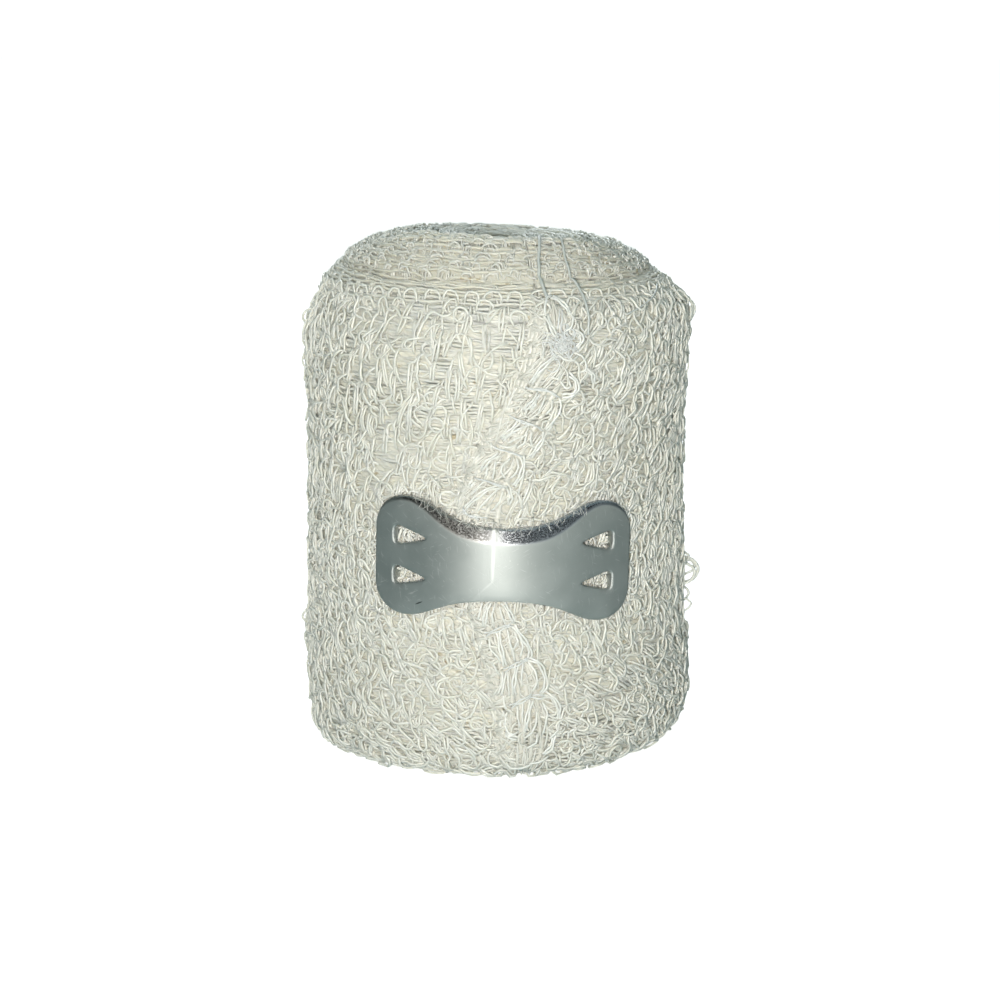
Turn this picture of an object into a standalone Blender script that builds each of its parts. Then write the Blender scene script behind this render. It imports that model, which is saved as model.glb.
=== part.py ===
"""A rolled crepe bandage, held shut by a stamped clip with four teeth.

Metres, +Z up. The roll stands on its flat end on z = 0, the clip faces -Y, and the whole
thing is centred over the origin. A bearing is the angle around the roll's axis, measured
from the front (-Y) towards the right (+X).
"""

import math
from collections import namedtuple

import bmesh
import bpy
import numpy as np
from mathutils import Matrix, Vector

MM = 0.001
FULL_TURN = 2 * math.pi
CLEARANCE = 0.3 * MM  # between the metal and the cloth

# The rolled cloth
STRIP_WIDTH = 75 * MM  # the woven strip, edge to edge, so the height of the roll
TURN = 1.05 * MM  # thickness of one turn of the strip, pile included
AXIS_X = 0.7 * MM  # the roll's axis beside the origin: its left side bulges more
AXIS_Y = 1.3 * MM  # and behind it, by half of what the clip adds
TOP_TILT = -0.042  # how much the upper end drops per metre towards the right
TILT_FROM = 58 * MM  # the height where that lean begins

# The upright sides: outer radius on the left and on the right, in millimetres
Section = namedtuple("Section", "height left right")
SECTIONS = (
    Section(height=0.0, left=26.7, right=22.8),
    Section(height=0.9, left=28.2, right=25.1),
    Section(height=2.8, left=28.9, right=27.0),
    Section(height=6.5, left=29.1, right=28.1),
    Section(height=12.0, left=29.1, right=28.0),
    Section(height=20.0, left=28.8, right=27.4),
    Section(height=35.0, left=28.9, right=26.8),
    Section(height=50.0, left=28.8, right=26.9),
    Section(height=58.0, left=28.7, right=27.4),
    Section(height=62.0, left=28.2, right=27.3),
    Section(height=65.0, left=27.2, right=27.0),
    Section(height=67.5, left=26.4, right=26.2),
    Section(height=70.0, left=24.6, right=24.3),
    Section(height=72.0, left=22.3, right=22.0),
    Section(height=73.2, left=20.0, right=20.0),
)
ROW_HEIGHTS_MM = (
    [0, 0.4, 1.1, 2.4, 4.3, 6.8]
    + [float(height) for height in np.linspace(10, 60, 16)]
    + [62.3, 64.4, 66.2, 67.7, 68.9, 69.9, 70.7, 71.5, 72.4, 73.2]
)

# The domed upper end, inside the last section above: height over radius, in millimetres
Crown = namedtuple("Crown", "radius height")
CROWNS = (
    Crown(radius=0.0, height=73.9),
    Crown(radius=2.0, height=74.4),
    Crown(radius=6.0, height=74.9),
    Crown(radius=11.0, height=75.0),
    Crown(radius=15.0, height=74.9),
    Crown(radius=18.0, height=74.3),
    Crown(radius=20.0, height=73.2),
)

PLAIN_COLUMNS = 61  # facets around the roll, besides the close ones at the free end

# The cut and sewn end of the strip: how far right of the middle it runs, in millimetres
FreeEnd = namedtuple("FreeEnd", "height offset")
FREE_END = (
    FreeEnd(height=0, offset=1.2),
    FreeEnd(height=9, offset=0.8),
    FreeEnd(height=17, offset=-0.8),
    FreeEnd(height=25, offset=-3.2),
    FreeEnd(height=33, offset=-5.6),
    FreeEnd(height=41, offset=-5.4),
    FreeEnd(height=49, offset=-1.5),
    FreeEnd(height=57, offset=4.0),
    FreeEnd(height=64, offset=6.2),
    FreeEnd(height=75, offset=5.6),
)
END_BAND_WIDTH = 6.5 * MM  # the overlocked strip along that end
END_BAND_RISE = 0.4 * MM
STITCH_PITCH = 5 * MM  # one overlock stitch along the end
END_FADES_FROM = 68 * MM  # the end is drawn in under the rolled selvage above this
END_FADE = 4 * MM

# The fold of the outer selvage, a soft trough around the shoulder of the roll
CREASE_HEIGHT = 70.7 * MM
CREASE_DEPTH = 0.6 * MM
CREASE_HALF_WIDTH = 1.1 * MM
CREASE_BEARING = math.radians(10)  # where it is deepest
CREASE_BACK_SHARE = 0.1  # how much of it is left at the back

# Soft lumps where the cloth is slack: bearing, height, half sizes across and up, and rise
Lump = namedtuple("Lump", "bearing_deg height across up rise")
LUMPS = (
    Lump(bearing_deg=84, height=65.0, across=6.0, up=3.2, rise=0.9),
    Lump(bearing_deg=-88, height=15, across=6.0, up=4.0, rise=0.5),
    Lump(bearing_deg=-84, height=60, across=6.0, up=5.0, rise=0.4),
    Lump(bearing_deg=86, height=11, across=7.0, up=4.0, rise=0.4),
    Lump(bearing_deg=70, height=46, across=9.0, up=6.0, rise=-0.3),
    Lump(bearing_deg=150, height=30, across=9.0, up=9.0, rise=0.4),
    Lump(bearing_deg=-140, height=45, across=9.0, up=9.0, rise=-0.4),
)
RIPPLE = 0.22 * MM  # gentle unevenness of the wound cloth everywhere else
RIPPLE_STEPS = (11 * MM, 7 * MM)  # how far up each of its two slanted waves runs in a radian
RIPPLE_FADE = 6 * MM
CLIP_SURROUND = 5 * MM  # the cloth is pulled smooth this far around the clip

# The groups of turns that stand a little apart on both ends of the roll
UPPER_RADIUS = 20 * MM
LOWER_RADIUS = 24 * MM
TURN_GROUPS = 5
LINES_PER_GROUP = 3
GROUP_GROOVE = 0.55 * MM
GROOVE_FADE = 1.6 * MM  # the grooves run out this close to the rim
SNAP = 0.35 * MM  # a line that ends this close to the rim ends on it
EYE_RADIUS = 2.2 * MM  # the small hollow where the winding starts, on the upper end
FLAT_RADIUS = 3.2 * MM  # the middle of the foot, pressed level

# The clip
CLIP_HEIGHT = 32.2 * MM  # its middle, above the surface the roll stands on
CLIP_BEARING = math.radians(1.1)
CLIP_TILT = math.radians(-1.9)
CLIP_HALF_LENGTH = 19.5 * MM  # along its bent sheet
CLIP_END_HALF_HEIGHT = 8.6 * MM
CLIP_WAIST_HALF_HEIGHT = 5.1 * MM
CLIP_LOBE_AT = 14.2 * MM  # the tallest point of each end, from the middle
CLIP_SIDE_HALF_HEIGHT = 4.0 * MM  # the straight part of each short side
CLIP_SHEET = 0.6 * MM
CLIP_END_RADIUS = 28.3 * MM  # the inner face at its ends, from the roll's axis
CLIP_RIGHT_DROP = 0.07 * MM  # how much closer its right end comes, and its left end less
CLIP_ARCH = 1.9 * MM  # how much further out its middle stands
CLIP_EDGE_ROLL = 0.45 * MM  # how much its long edges turn towards the cloth
CLIP_ROLL_WIDTH = 2.6 * MM
CLIP_COLUMNS = 25  # the bends of its curve

TOOTH_HOLE_INNER = 10.7 * MM
TOOTH_HOLE_OUTER = 16.2 * MM
TOOTH_HALF_SPACING = 2.9 * MM  # the teeth, above and below the clip's middle
TOOTH_HALF_WIDTH = 1.4 * MM
TOOTH_TIP_HALF_WIDTH = 0.3 * MM
TOOTH_LENGTH = 3.6 * MM
TOOTH_THICKNESS = 0.45 * MM
TOOTH_ROOT_OVERLAP = 0.1 * MM  # how far it stands into its slot
POCKET_REACH = 1.5 * MM  # how far a cut for a tooth reaches out past the cloth


def face_outwards(mesh):
    """Turns every face of a closed mesh to point out of it."""
    bmesh.ops.recalc_face_normals(mesh, faces=mesh.faces)
    if mesh.calc_volume(signed=True) < 0:
        bmesh.ops.reverse_faces(mesh, faces=mesh.faces)


def start_clean():
    """Remove whatever is in the file."""
    for old in list(bpy.data.objects):
        bpy.data.objects.remove(old, do_unlink=True)


def make_collection(name):
    collection = bpy.data.collections.new(name)
    bpy.context.scene.collection.children.link(collection)
    return collection


def make_material(name, colour, roughness, metallic):
    material = bpy.data.materials.new(name)
    material.use_nodes = True
    surface = material.node_tree.nodes["Principled BSDF"]
    surface.inputs["Base Color"].default_value = (*colour, 1)
    surface.inputs["Roughness"].default_value = roughness
    surface.inputs["Metallic"].default_value = metallic
    return material


def make_object(name, mesh, collection, material=None):
    item = bpy.data.objects.new(name, mesh)
    collection.objects.link(item)
    if material:
        mesh.materials.append(material)
    return item


def smoothstep(value):
    share = min(max(value, 0.0), 1.0)
    return share * share * (3 - 2 * share)


def smooth_curve(rows, place, value):
    """A smooth curve through a table's rows that never overshoots them, in millimetres."""
    xs = np.array([getattr(row, place) for row in rows], float)
    ys = np.array([getattr(row, value) for row in rows], float)
    steps = np.diff(xs)
    slopes = np.diff(ys) / steps
    tangents = np.empty(len(xs))
    tangents[0] = slopes[0]
    tangents[-1] = slopes[-1]
    for index in range(1, len(xs) - 1):
        before = slopes[index - 1]
        after = slopes[index]
        tangents[index] = 0 if before * after <= 0 else 2 * before * after / (before + after)

    def curve(x):
        x = min(max(x, xs[0]), xs[-1])
        index = min(int(np.searchsorted(xs, x, side="right")) - 1, len(steps) - 1)
        step = steps[index]
        t = (x - xs[index]) / step
        start = ys[index] * (1 + 2 * t) * (1 - t) ** 2 + tangents[index] * step * t * (1 - t) ** 2
        end = ys[index + 1] * t * t * (3 - 2 * t) + tangents[index + 1] * step * t * t * (t - 1)
        return float(start + end)

    return curve


left_side = smooth_curve(SECTIONS, "height", "left")
right_side = smooth_curve(SECTIONS, "height", "right")
crown = smooth_curve(CROWNS, "radius", "height")
free_end = smooth_curve(FREE_END, "height", "offset")


def side_radius(height, bearing):
    """The smooth outer radius, before turns, end and lumps."""
    right_share = 0.5 + 0.5 * math.sin(bearing)
    left = left_side(height / MM)
    right = right_side(height / MM)
    return (left + (right - left) * right_share) * MM


def end_bearing(height):
    """Where the strip's cut end lies, at a height."""
    return math.asin(free_end(height / MM) * MM / (side_radius(height, 0) + TURN / 2))


def end_band(height, past_end):
    """The pillow of the sewn end, past_end to the right of its cut edge."""
    share = past_end / END_BAND_WIDTH
    if share < 0 or share > 1:
        return 0.0
    scallop = 0.7 + 0.3 * abs(math.sin(math.pi * height / STITCH_PITCH))
    return END_BAND_RISE * scallop * math.sin(math.pi * share) ** 0.6


def ripple(height, bearing):
    """Gentle unevenness of cloth wound by hand, none on the flat end or under the clip."""
    wide = math.sin(3 * bearing + height / RIPPLE_STEPS[0])
    narrow = math.sin(5 * bearing - height / RIPPLE_STEPS[1])
    near_foot = smoothstep(height / RIPPLE_FADE)
    near_top = 1 - smoothstep((height - END_FADES_FROM) / RIPPLE_FADE)
    across = abs(bearing - CLIP_BEARING) * side_radius(height, bearing) - CLIP_HALF_LENGTH
    upright = abs(height - CLIP_HEIGHT) - CLIP_END_HALF_HEIGHT
    beside_clip = smoothstep(max(across, upright) / CLIP_SURROUND)
    return 0.5 * RIPPLE * (wide + narrow) * near_foot * near_top * beside_clip


def lumps(height, bearing):
    total = 0.0
    for lump in LUMPS:
        turn = math.remainder(bearing - math.radians(lump.bearing_deg), FULL_TURN)
        across = turn * side_radius(height, bearing) / (lump.across * MM)
        upright = (height - lump.height * MM) / (lump.up * MM)
        total += lump.rise * MM * math.exp(-across * across - upright * upright)
    return total


def crease(height, bearing):
    """The fold of the selvage, deepest at the front and fading to the back."""
    away = (height - CREASE_HEIGHT) / CREASE_HALF_WIDTH
    front_share = 0.5 + 0.5 * math.cos(bearing - CREASE_BEARING)
    share = CREASE_BACK_SHARE + (1 - CREASE_BACK_SHARE) * front_share
    return CREASE_DEPTH * share * math.exp(-away * away)


def cloth_radius(height, turned):
    """The cloth's outer radius, turned radians past the cut end, going right."""
    end_share = 1 - smoothstep((height - END_FADES_FROM) / END_FADE)
    bearing = end_bearing(height) + turned
    winding = TURN * (0.5 - turned / FULL_TURN)
    radius = side_radius(height, bearing)
    band = end_band(height, turned * radius)
    uneven = ripple(height, math.remainder(bearing, FULL_TURN)) + lumps(height, bearing)
    return radius + (winding + band) * end_share + uneven - crease(height, bearing)


def on_axis(radius, bearing, height):
    """A point from its radius, bearing and height."""
    return Vector((radius * math.sin(bearing), -radius * math.cos(bearing), height))


def leaned(point):
    """The upper end's slight lean to the right."""
    share = smoothstep((point.z - TILT_FROM) / (STRIP_WIDTH - TILT_FROM))
    return Vector((point.x, point.y, point.z + TOP_TILT * point.x * share))


def turned_columns():
    """Angles past the cut end, close together at the sewn band and at the step."""
    band = [0, 0.9, 2.4, 4.1, 5.6, 6.9, 8.6]  # arcs in millimetres
    before_step = [2.6, 0.7]
    around = FULL_TURN * left_side(STRIP_WIDTH / 2 / MM)
    plain = np.linspace(band[-1], around - before_step[0], PLAIN_COLUMNS + 2)[1:-1]
    arcs = band + list(plain) + [around - gap for gap in before_step]
    return [arc / around * FULL_TURN for arc in arcs]


COLUMNS = turned_columns()


def group_groove(line):
    """Depth of the groove between two groups of turns: all of it on each first line."""
    return GROUP_GROOVE if line % LINES_PER_GROUP == 0 else 0.0


def upper_point(line, turned, last_line):
    """A point of the domed end, on a line that winds one group inwards each turn."""
    group = UPPER_RADIUS / TURN_GROUPS
    radius = group * (line / LINES_PER_GROUP - turned / FULL_TURN)
    if radius > UPPER_RADIUS - SNAP:
        radius = UPPER_RADIUS
    radius = max(radius, 0.0)
    fade = smoothstep((UPPER_RADIUS - radius) / GROOVE_FADE) * smoothstep(radius / EYE_RADIUS)
    height = crown(radius / MM) * MM - group_groove(line) * fade
    return leaned(on_axis(radius, end_bearing(last_line) + turned, height))


def lower_point(line, turned, rim_radius):
    """A point of the flat end, on lands at z = 0 with a shallow groove between groups."""
    group = LOWER_RADIUS / TURN_GROUPS
    even = group * (line / LINES_PER_GROUP - turned / FULL_TURN)
    if even > LOWER_RADIUS - SNAP:
        even = LOWER_RADIUS
    even = max(even, 0.0)
    radius = even + (rim_radius - LOWER_RADIUS) * (even / LOWER_RADIUS) ** 3
    fade = smoothstep((LOWER_RADIUS - even) / GROOVE_FADE) * smoothstep((even - FLAT_RADIUS) / MM)
    height = group_groove(line) * fade
    return on_axis(radius, end_bearing(0) + turned, height)


def wound_end(mesh, point_at):
    """Faces of one end, its lines running inwards as a spiral to the eye."""
    lines = (TURN_GROUPS + 1) * LINES_PER_GROUP
    grid = []
    for line in range(lines + 1):
        grid.append([mesh.verts.new(point_at(line, turned)) for turned in COLUMNS])
    last = len(COLUMNS) - 1
    for line in range(lines):
        for column in range(last):
            mesh.faces.new((
                grid[line][column],
                grid[line + 1][column],
                grid[line + 1][column + 1],
                grid[line][column + 1],
            ))
        inner = line - LINES_PER_GROUP
        if inner >= 0:
            mesh.faces.new((
                grid[line][last],
                grid[line + 1][last],
                grid[inner + 1][0],
                grid[inner][0],
            ))


def roll_rows():
    """Rings of points up the sides, from the rim of the foot to the dome."""
    rows = []
    for height_mm in ROW_HEIGHTS_MM:
        height = height_mm * MM
        row = []
        for turned in COLUMNS:
            radius = cloth_radius(height, turned)
            row.append(leaned(on_axis(radius, end_bearing(height) + turned, height)))
        rows.append(row)
    return rows


def make_roll(collection, material):
    """The wound cloth: upright sides with the step of the free end, and two wound ends."""
    mesh = bmesh.new()
    rows = roll_rows()
    dome_height = ROW_HEIGHTS_MM[-1] * MM
    rows[-1] = [
        upper_point((TURN_GROUPS + 1) * LINES_PER_GROUP, turned, dome_height)
        for turned in COLUMNS
    ]
    rings = [[mesh.verts.new(point) for point in row] for row in rows]
    count = len(COLUMNS)
    for lower, upper in zip(rings, rings[1:]):
        for column in range(count):
            after = (column + 1) % count
            mesh.faces.new((lower[column], lower[after], upper[after], upper[column]))

    rim = [math.hypot(point.x, point.y) for point in rows[0]]
    rim_at = dict(zip(COLUMNS, rim))
    wound_end(mesh, lambda line, turned: upper_point(line, turned, dome_height))
    wound_end(mesh, lambda line, turned: lower_point(line, turned, rim_at[turned]))
    bmesh.ops.remove_doubles(mesh, verts=mesh.verts, dist=0.03 * MM)
    bmesh.ops.dissolve_degenerate(mesh, edges=mesh.edges, dist=0.01 * MM)
    face_outwards(mesh)
    data = bpy.data.meshes.new("bandage_roll")
    mesh.to_mesh(data)
    mesh.free()
    data.shade_smooth()
    return make_object("bandage_roll", data, collection, material)


def flat_outline(name, loops, thickness, collection):
    """A flat sheet from closed outlines, the first the rim and the rest holes, as a mesh."""
    curve = bpy.data.curves.new(name, "CURVE")
    curve.dimensions = "2D"
    curve.fill_mode = "BOTH"
    curve.extrude = thickness / 2
    for loop in loops:
        spline = curve.splines.new("POLY")
        spline.points.add(len(loop) - 1)
        for point, (x, y) in zip(spline.points, loop):
            point.co = (x, y, 0, 1)
        spline.use_cyclic_u = True
    guide = bpy.data.objects.new(name, curve)
    collection.objects.link(guide)
    bpy.context.view_layer.update()
    evaluated = guide.evaluated_get(bpy.context.evaluated_depsgraph_get())
    data = bpy.data.meshes.new_from_object(evaluated)
    bpy.data.objects.remove(guide, do_unlink=True)
    mesh = bmesh.new()
    mesh.from_mesh(data)
    bmesh.ops.remove_doubles(mesh, verts=mesh.verts, dist=0.001 * MM)
    face_outwards(mesh)
    mesh.to_mesh(data)
    mesh.free()
    return data


def bezier(start, start_handle, end_handle, end, steps):
    """Points of a cubic curve, without its last one."""
    points = []
    for step in range(steps):
        t = step / steps
        u = 1 - t
        weights = (u ** 3, 3 * u * u * t, 3 * u * t * t, t ** 3)
        corners = (start, start_handle, end_handle, end)
        points.append(tuple(sum(w * c[axis] for w, c in zip(weights, corners)) for axis in (0, 1)))
    return points


def clip_outline():
    """The clip's dog-bone outline, laid flat: a quarter, mirrored twice."""
    waist = (0, CLIP_WAIST_HALF_HEIGHT)
    lobe = (CLIP_LOBE_AT, CLIP_END_HALF_HEIGHT)
    side = (CLIP_HALF_LENGTH, CLIP_SIDE_HALF_HEIGHT)
    quarter = bezier(
        waist,
        (CLIP_LOBE_AT * 0.6, CLIP_WAIST_HALF_HEIGHT),
        (CLIP_LOBE_AT * 0.72, CLIP_END_HALF_HEIGHT - 0.1 * MM),
        lobe,
        9,
    )
    quarter += bezier(
        lobe,
        (CLIP_LOBE_AT + 3 * MM, CLIP_END_HALF_HEIGHT),
        (CLIP_HALF_LENGTH, CLIP_SIDE_HALF_HEIGHT + 2.8 * MM),
        side,
        7,
    )
    quarter.append(side)
    lower_right = [(x, -y) for x, y in reversed(quarter)]
    lower_left = [(-x, -y) for x, y in quarter[1:]]
    upper_left = [(-x, y) for x, y in reversed(quarter[1:])]
    return quarter + lower_right + lower_left + upper_left


def tooth_hole(side, middle):
    """The slot that a tooth leaves: a rounded triangle, wide towards the clip's end."""
    corner = 0.35 * MM
    tip = 0.35 * MM
    width = TOOTH_HALF_WIDTH
    length = TOOTH_HOLE_OUTER
    half = [
        (TOOTH_HOLE_INNER, tip * 0.4),
        (TOOTH_HOLE_INNER + tip * 0.5, tip),
        (length - corner * 2, width * 0.97),
        (length - corner * 0.6, width),
        (length, width - corner * 0.6),
    ]
    outline = half + [(x, -y) for x, y in reversed(half)]
    return [(side * x, middle + y) for x, y in outline]


def tooth_prism(side, middle, spare):
    """A tooth bent down at the wide end of its slot, pointing at the roll's axis."""
    inner = TOOTH_HOLE_OUTER - TOOTH_ROOT_OVERLAP - spare
    outer = TOOTH_HOLE_OUTER + TOOTH_THICKNESS + spare
    root = TOOTH_HALF_WIDTH - TOOTH_ROOT_OVERLAP + spare
    tip = TOOTH_TIP_HALF_WIDTH + spare
    top = CLIP_SHEET / 2 if spare == 0 else POCKET_REACH
    levels = ((top, root), (0.0, root), (-TOOTH_LENGTH - spare, tip))
    mesh = bmesh.new()
    rings = []
    for depth, half in levels:
        corners = ((inner, -half), (outer, -half), (outer, half), (inner, half))
        rings.append([mesh.verts.new((side * x, middle + y, depth)) for x, y in corners])
    for upper, lower in zip(rings, rings[1:]):
        for corner in range(4):
            after = (corner + 1) % 4
            mesh.faces.new((upper[corner], upper[after], lower[after], lower[corner]))
    mesh.faces.new(rings[0])
    mesh.faces.new(rings[-1])
    face_outwards(mesh)
    data = bpy.data.meshes.new("tooth")
    mesh.to_mesh(data)
    mesh.free()
    return data


def bent_around_roll(point):
    """Moves a point of the flat clip to its place around the roll."""
    across = point.x * math.cos(CLIP_TILT) - point.y * math.sin(CLIP_TILT)
    upright = point.x * math.sin(CLIP_TILT) + point.y * math.cos(CLIP_TILT)
    along = min(abs(point.x) / CLIP_HALF_LENGTH, 1.0)
    bearing = CLIP_BEARING + across / (CLIP_END_RADIUS + CLIP_SHEET)
    arch = CLIP_ARCH * math.cos(0.5 * math.pi * along) ** 2
    waist_share = 1 - smoothstep((abs(point.x) - 7 * MM) / (7 * MM))
    edge = CLIP_WAIST_HALF_HEIGHT - CLIP_ROLL_WIDTH
    rolled = min(max(abs(point.y) - edge, 0.0) / CLIP_ROLL_WIDTH, 1.4)
    seat = CLIP_END_RADIUS - CLIP_RIGHT_DROP * point.x / CLIP_HALF_LENGTH
    radius = seat + arch + point.z - CLIP_EDGE_ROLL * waist_share * rolled ** 2
    return on_axis(radius, bearing, CLIP_HEIGHT + upright)


def bend_mesh(data, columns, rows):
    """Slices a flat mesh into narrow pieces and bends it around the roll."""
    mesh = bmesh.new()
    mesh.from_mesh(data)
    flat = math.radians(1)
    bmesh.ops.dissolve_limit(mesh, angle_limit=flat, verts=mesh.verts, edges=mesh.edges)
    cuts = [(Vector((x, 0, 0)), Vector((1, 0, 0))) for x in columns]
    cuts += [(Vector((0, y, 0)), Vector((0, 1, 0))) for y in rows]
    for place, normal in cuts:
        everything = mesh.verts[:] + mesh.edges[:] + mesh.faces[:]
        bmesh.ops.bisect_plane(
            mesh, geom=everything, dist=0.002 * MM, plane_co=place, plane_no=normal
        )
    for vertex in mesh.verts:
        vertex.co = bent_around_roll(vertex.co)
    face_outwards(mesh)
    mesh.to_mesh(data)
    mesh.free()


def united(base, others):
    """Joins solids into the base and returns the result as a plain mesh."""
    for other in others:
        modifier = base.modifiers.new(other.name, "BOOLEAN")
        modifier.operation = "UNION"
        modifier.object = other
        modifier.solver = "EXACT"
    bpy.context.view_layer.update()
    evaluated = base.evaluated_get(bpy.context.evaluated_depsgraph_get())
    data = bpy.data.meshes.new_from_object(evaluated)
    base.modifiers.clear()
    base.data = data
    return data


def tooth_places():
    places = []
    for side in (-1, 1):
        for middle in (-TOOTH_HALF_SPACING, TOOTH_HALF_SPACING):
            places.append((side, middle))
    return places


def make_clip(collection, cutters, material):
    """The stamped clip: a flat sheet with four slots and teeth, then bent as one piece."""
    loops = [clip_outline()] + [tooth_hole(*place) for place in tooth_places()]
    data = flat_outline("clip_outline", loops, CLIP_SHEET, cutters)
    data.transform(Matrix.Translation((0, 0, CLIP_SHEET / 2)))
    clip = make_object("clip", data, collection)
    teeth = [
        make_object("tooth", tooth_prism(*place, 0.0), cutters) for place in tooth_places()
    ]
    data = united(clip, teeth)
    for tooth in teeth:
        bpy.data.objects.remove(tooth, do_unlink=True)
    reach = CLIP_HALF_LENGTH - CLIP_SHEET
    columns = [float(x) for x in np.linspace(-reach, reach, CLIP_COLUMNS)]
    upper_rows = [CLIP_WAIST_HALF_HEIGHT - share * CLIP_ROLL_WIDTH for share in (0.3, 0.65)]
    bend_mesh(data, columns, [0] + upper_rows + [-row for row in upper_rows])
    data.name = "clip"
    data.materials.clear()
    data.materials.append(material)
    data.shade_smooth()
    data.set_sharp_from_angle(angle=math.radians(35))
    return clip


def cut_tooth_pockets(roll, cutters):
    """The small pockets in the cloth that the teeth bite into."""
    pockets = []
    for place in tooth_places():
        data = tooth_prism(*place, CLEARANCE)
        bend_mesh(data, (), ())
        pocket = make_object("tooth_pocket", data, cutters)
        pocket.hide_render = True
        pocket.display_type = "WIRE"
        pockets.append(pocket)
        cut = roll.modifiers.new("tooth_pocket", "BOOLEAN")
        cut.operation = "DIFFERENCE"
        cut.object = pocket
        cut.solver = "EXACT"
    return pockets


def main():
    start_clean()
    bandage = make_collection("crepe_bandage_roll")
    cutters = make_collection("cutters")
    cotton = make_material("unbleached_cotton", (0.72, 0.70, 0.61), 0.95, 0.0)
    metal = make_material("satin_metal", (0.60, 0.62, 0.62), 0.32, 1.0)

    axis = bpy.data.objects.new("roll_axis", None)
    bandage.objects.link(axis)
    axis.location = (AXIS_X, AXIS_Y, 0)

    roll = make_roll(bandage, cotton)
    clip = make_clip(bandage, cutters, metal)
    pockets = cut_tooth_pockets(roll, cutters)
    for item in [roll, clip] + pockets:
        item.parent = axis


main()
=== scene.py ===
# %% [markdown]
# # Dressing a crepe bandage roll
# A crepe bandage is one long strip of cotton gauze, wound up on itself. Its twisted yarns
# curl into loops, which makes the cloth springy and gives it a rough, woolly face. The
# strip's last end is sewn over with a looping stitch, and a small stamped clip holds it.
# This lesson starts from the fixed solids of the roll and the clip, and lays the real
# cloth, yarns, stitches and metal over them, each in its own cells.

# %% The frame
import math

import bmesh
import bpy
import numpy as np
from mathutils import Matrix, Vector
from mathutils.bvhtree import BVHTree


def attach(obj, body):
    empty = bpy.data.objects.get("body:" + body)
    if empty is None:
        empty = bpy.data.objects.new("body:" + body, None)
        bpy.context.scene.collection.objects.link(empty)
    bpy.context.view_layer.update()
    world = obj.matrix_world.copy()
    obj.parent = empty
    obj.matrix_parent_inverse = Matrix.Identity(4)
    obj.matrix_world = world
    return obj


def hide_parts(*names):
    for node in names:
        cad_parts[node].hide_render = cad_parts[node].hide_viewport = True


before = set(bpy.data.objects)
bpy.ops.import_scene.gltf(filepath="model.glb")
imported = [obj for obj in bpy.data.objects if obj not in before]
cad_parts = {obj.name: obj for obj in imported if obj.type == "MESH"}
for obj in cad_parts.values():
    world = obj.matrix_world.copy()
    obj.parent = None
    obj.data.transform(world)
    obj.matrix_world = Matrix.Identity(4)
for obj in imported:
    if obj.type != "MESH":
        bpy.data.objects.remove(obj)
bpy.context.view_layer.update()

MM = 0.001
FULL_TURN = 2 * math.pi

# %% [markdown]
# ## The camera and the lamps
# The photograph was taken from a little above, with a flash close to the lens and a little
# left of it. A flash can't be copied by one lamp alone, because its light also comes back
# from the room, so a pale world does about half of the work further down. A larger soft
# lamp behind the roll lights its back and the far side of its dome.

# %% Camera
AXIS_X = 0.7  # the roll's axis, in millimetres
AXIS_Y = 1.3
CAMERA_DISTANCE = 350.0
CAMERA_ELEVATION = math.radians(12.3)
CAMERA_AIM_HEIGHT = 35.0
FOCAL_PIXELS = 2320.0
IMAGE_PIXELS = 1000.0
SENSOR_MM = 36.0

camera_data = bpy.data.cameras.new("photo_camera")
camera_data.sensor_width = SENSOR_MM
camera_data.lens = FOCAL_PIXELS / IMAGE_PIXELS * SENSOR_MM
camera_data.clip_start = 0.01
camera_data.clip_end = 200
camera = bpy.data.objects.new("photo_camera", camera_data)
bpy.context.scene.collection.objects.link(camera)
camera.location = (
    AXIS_X * MM,
    (AXIS_Y - CAMERA_DISTANCE * math.cos(CAMERA_ELEVATION)) * MM,
    (CAMERA_AIM_HEIGHT + CAMERA_DISTANCE * math.sin(CAMERA_ELEVATION)) * MM,
)
camera.rotation_euler = (math.pi / 2 - CAMERA_ELEVATION, 0, 0)
bpy.context.scene.camera = camera
bpy.context.scene.view_settings.view_transform = "Standard"
print("camera at", [round(v, 4) for v in camera.location])


# %% Lamps and world
def soft_lamp(name, place_mm, aim_mm, size_mm, watts, colour):
    """A square soft lamp that looks at a point."""
    lamp = bpy.data.lights.new(name, "AREA")
    lamp.size = size_mm * MM
    lamp.energy = watts
    lamp.color = colour
    item = bpy.data.objects.new(name, lamp)
    bpy.context.scene.collection.objects.link(item)
    item.location = Vector(place_mm) * MM
    look = Vector(aim_mm) * MM - item.location
    item.rotation_euler = look.to_track_quat("-Z", "Y").to_euler()
    return item


soft_lamp(
    "flash",
    place_mm=(-22, -345, 96),
    aim_mm=(0, 0, 35),
    size_mm=36,
    watts=0.96,
    colour=(1.0, 0.955, 0.895),
)
soft_lamp(
    "rear_softbox",
    place_mm=(-40, 400, 360),
    aim_mm=(0, 0, 50),
    size_mm=260,
    watts=1.2,
    colour=(0.94, 0.99, 1.0),
)
print("lamps:", [lamp.name for lamp in bpy.data.lights])

# %% [markdown]
# ## Shader maths as Python
# A finish is a short sum of noises and waves. Written with nodes one by one it would fill
# pages, so one small class wraps a socket and lets plain Python operators add the Math
# nodes. Any other node comes from one method.


# %% The shader helper
def plug(tree, value, slot):
    """Links a wire to a socket, or sets the socket to a plain value."""
    if isinstance(value, Wire):
        tree.links.new(value.socket, slot)
    else:
        slot.default_value = value


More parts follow.
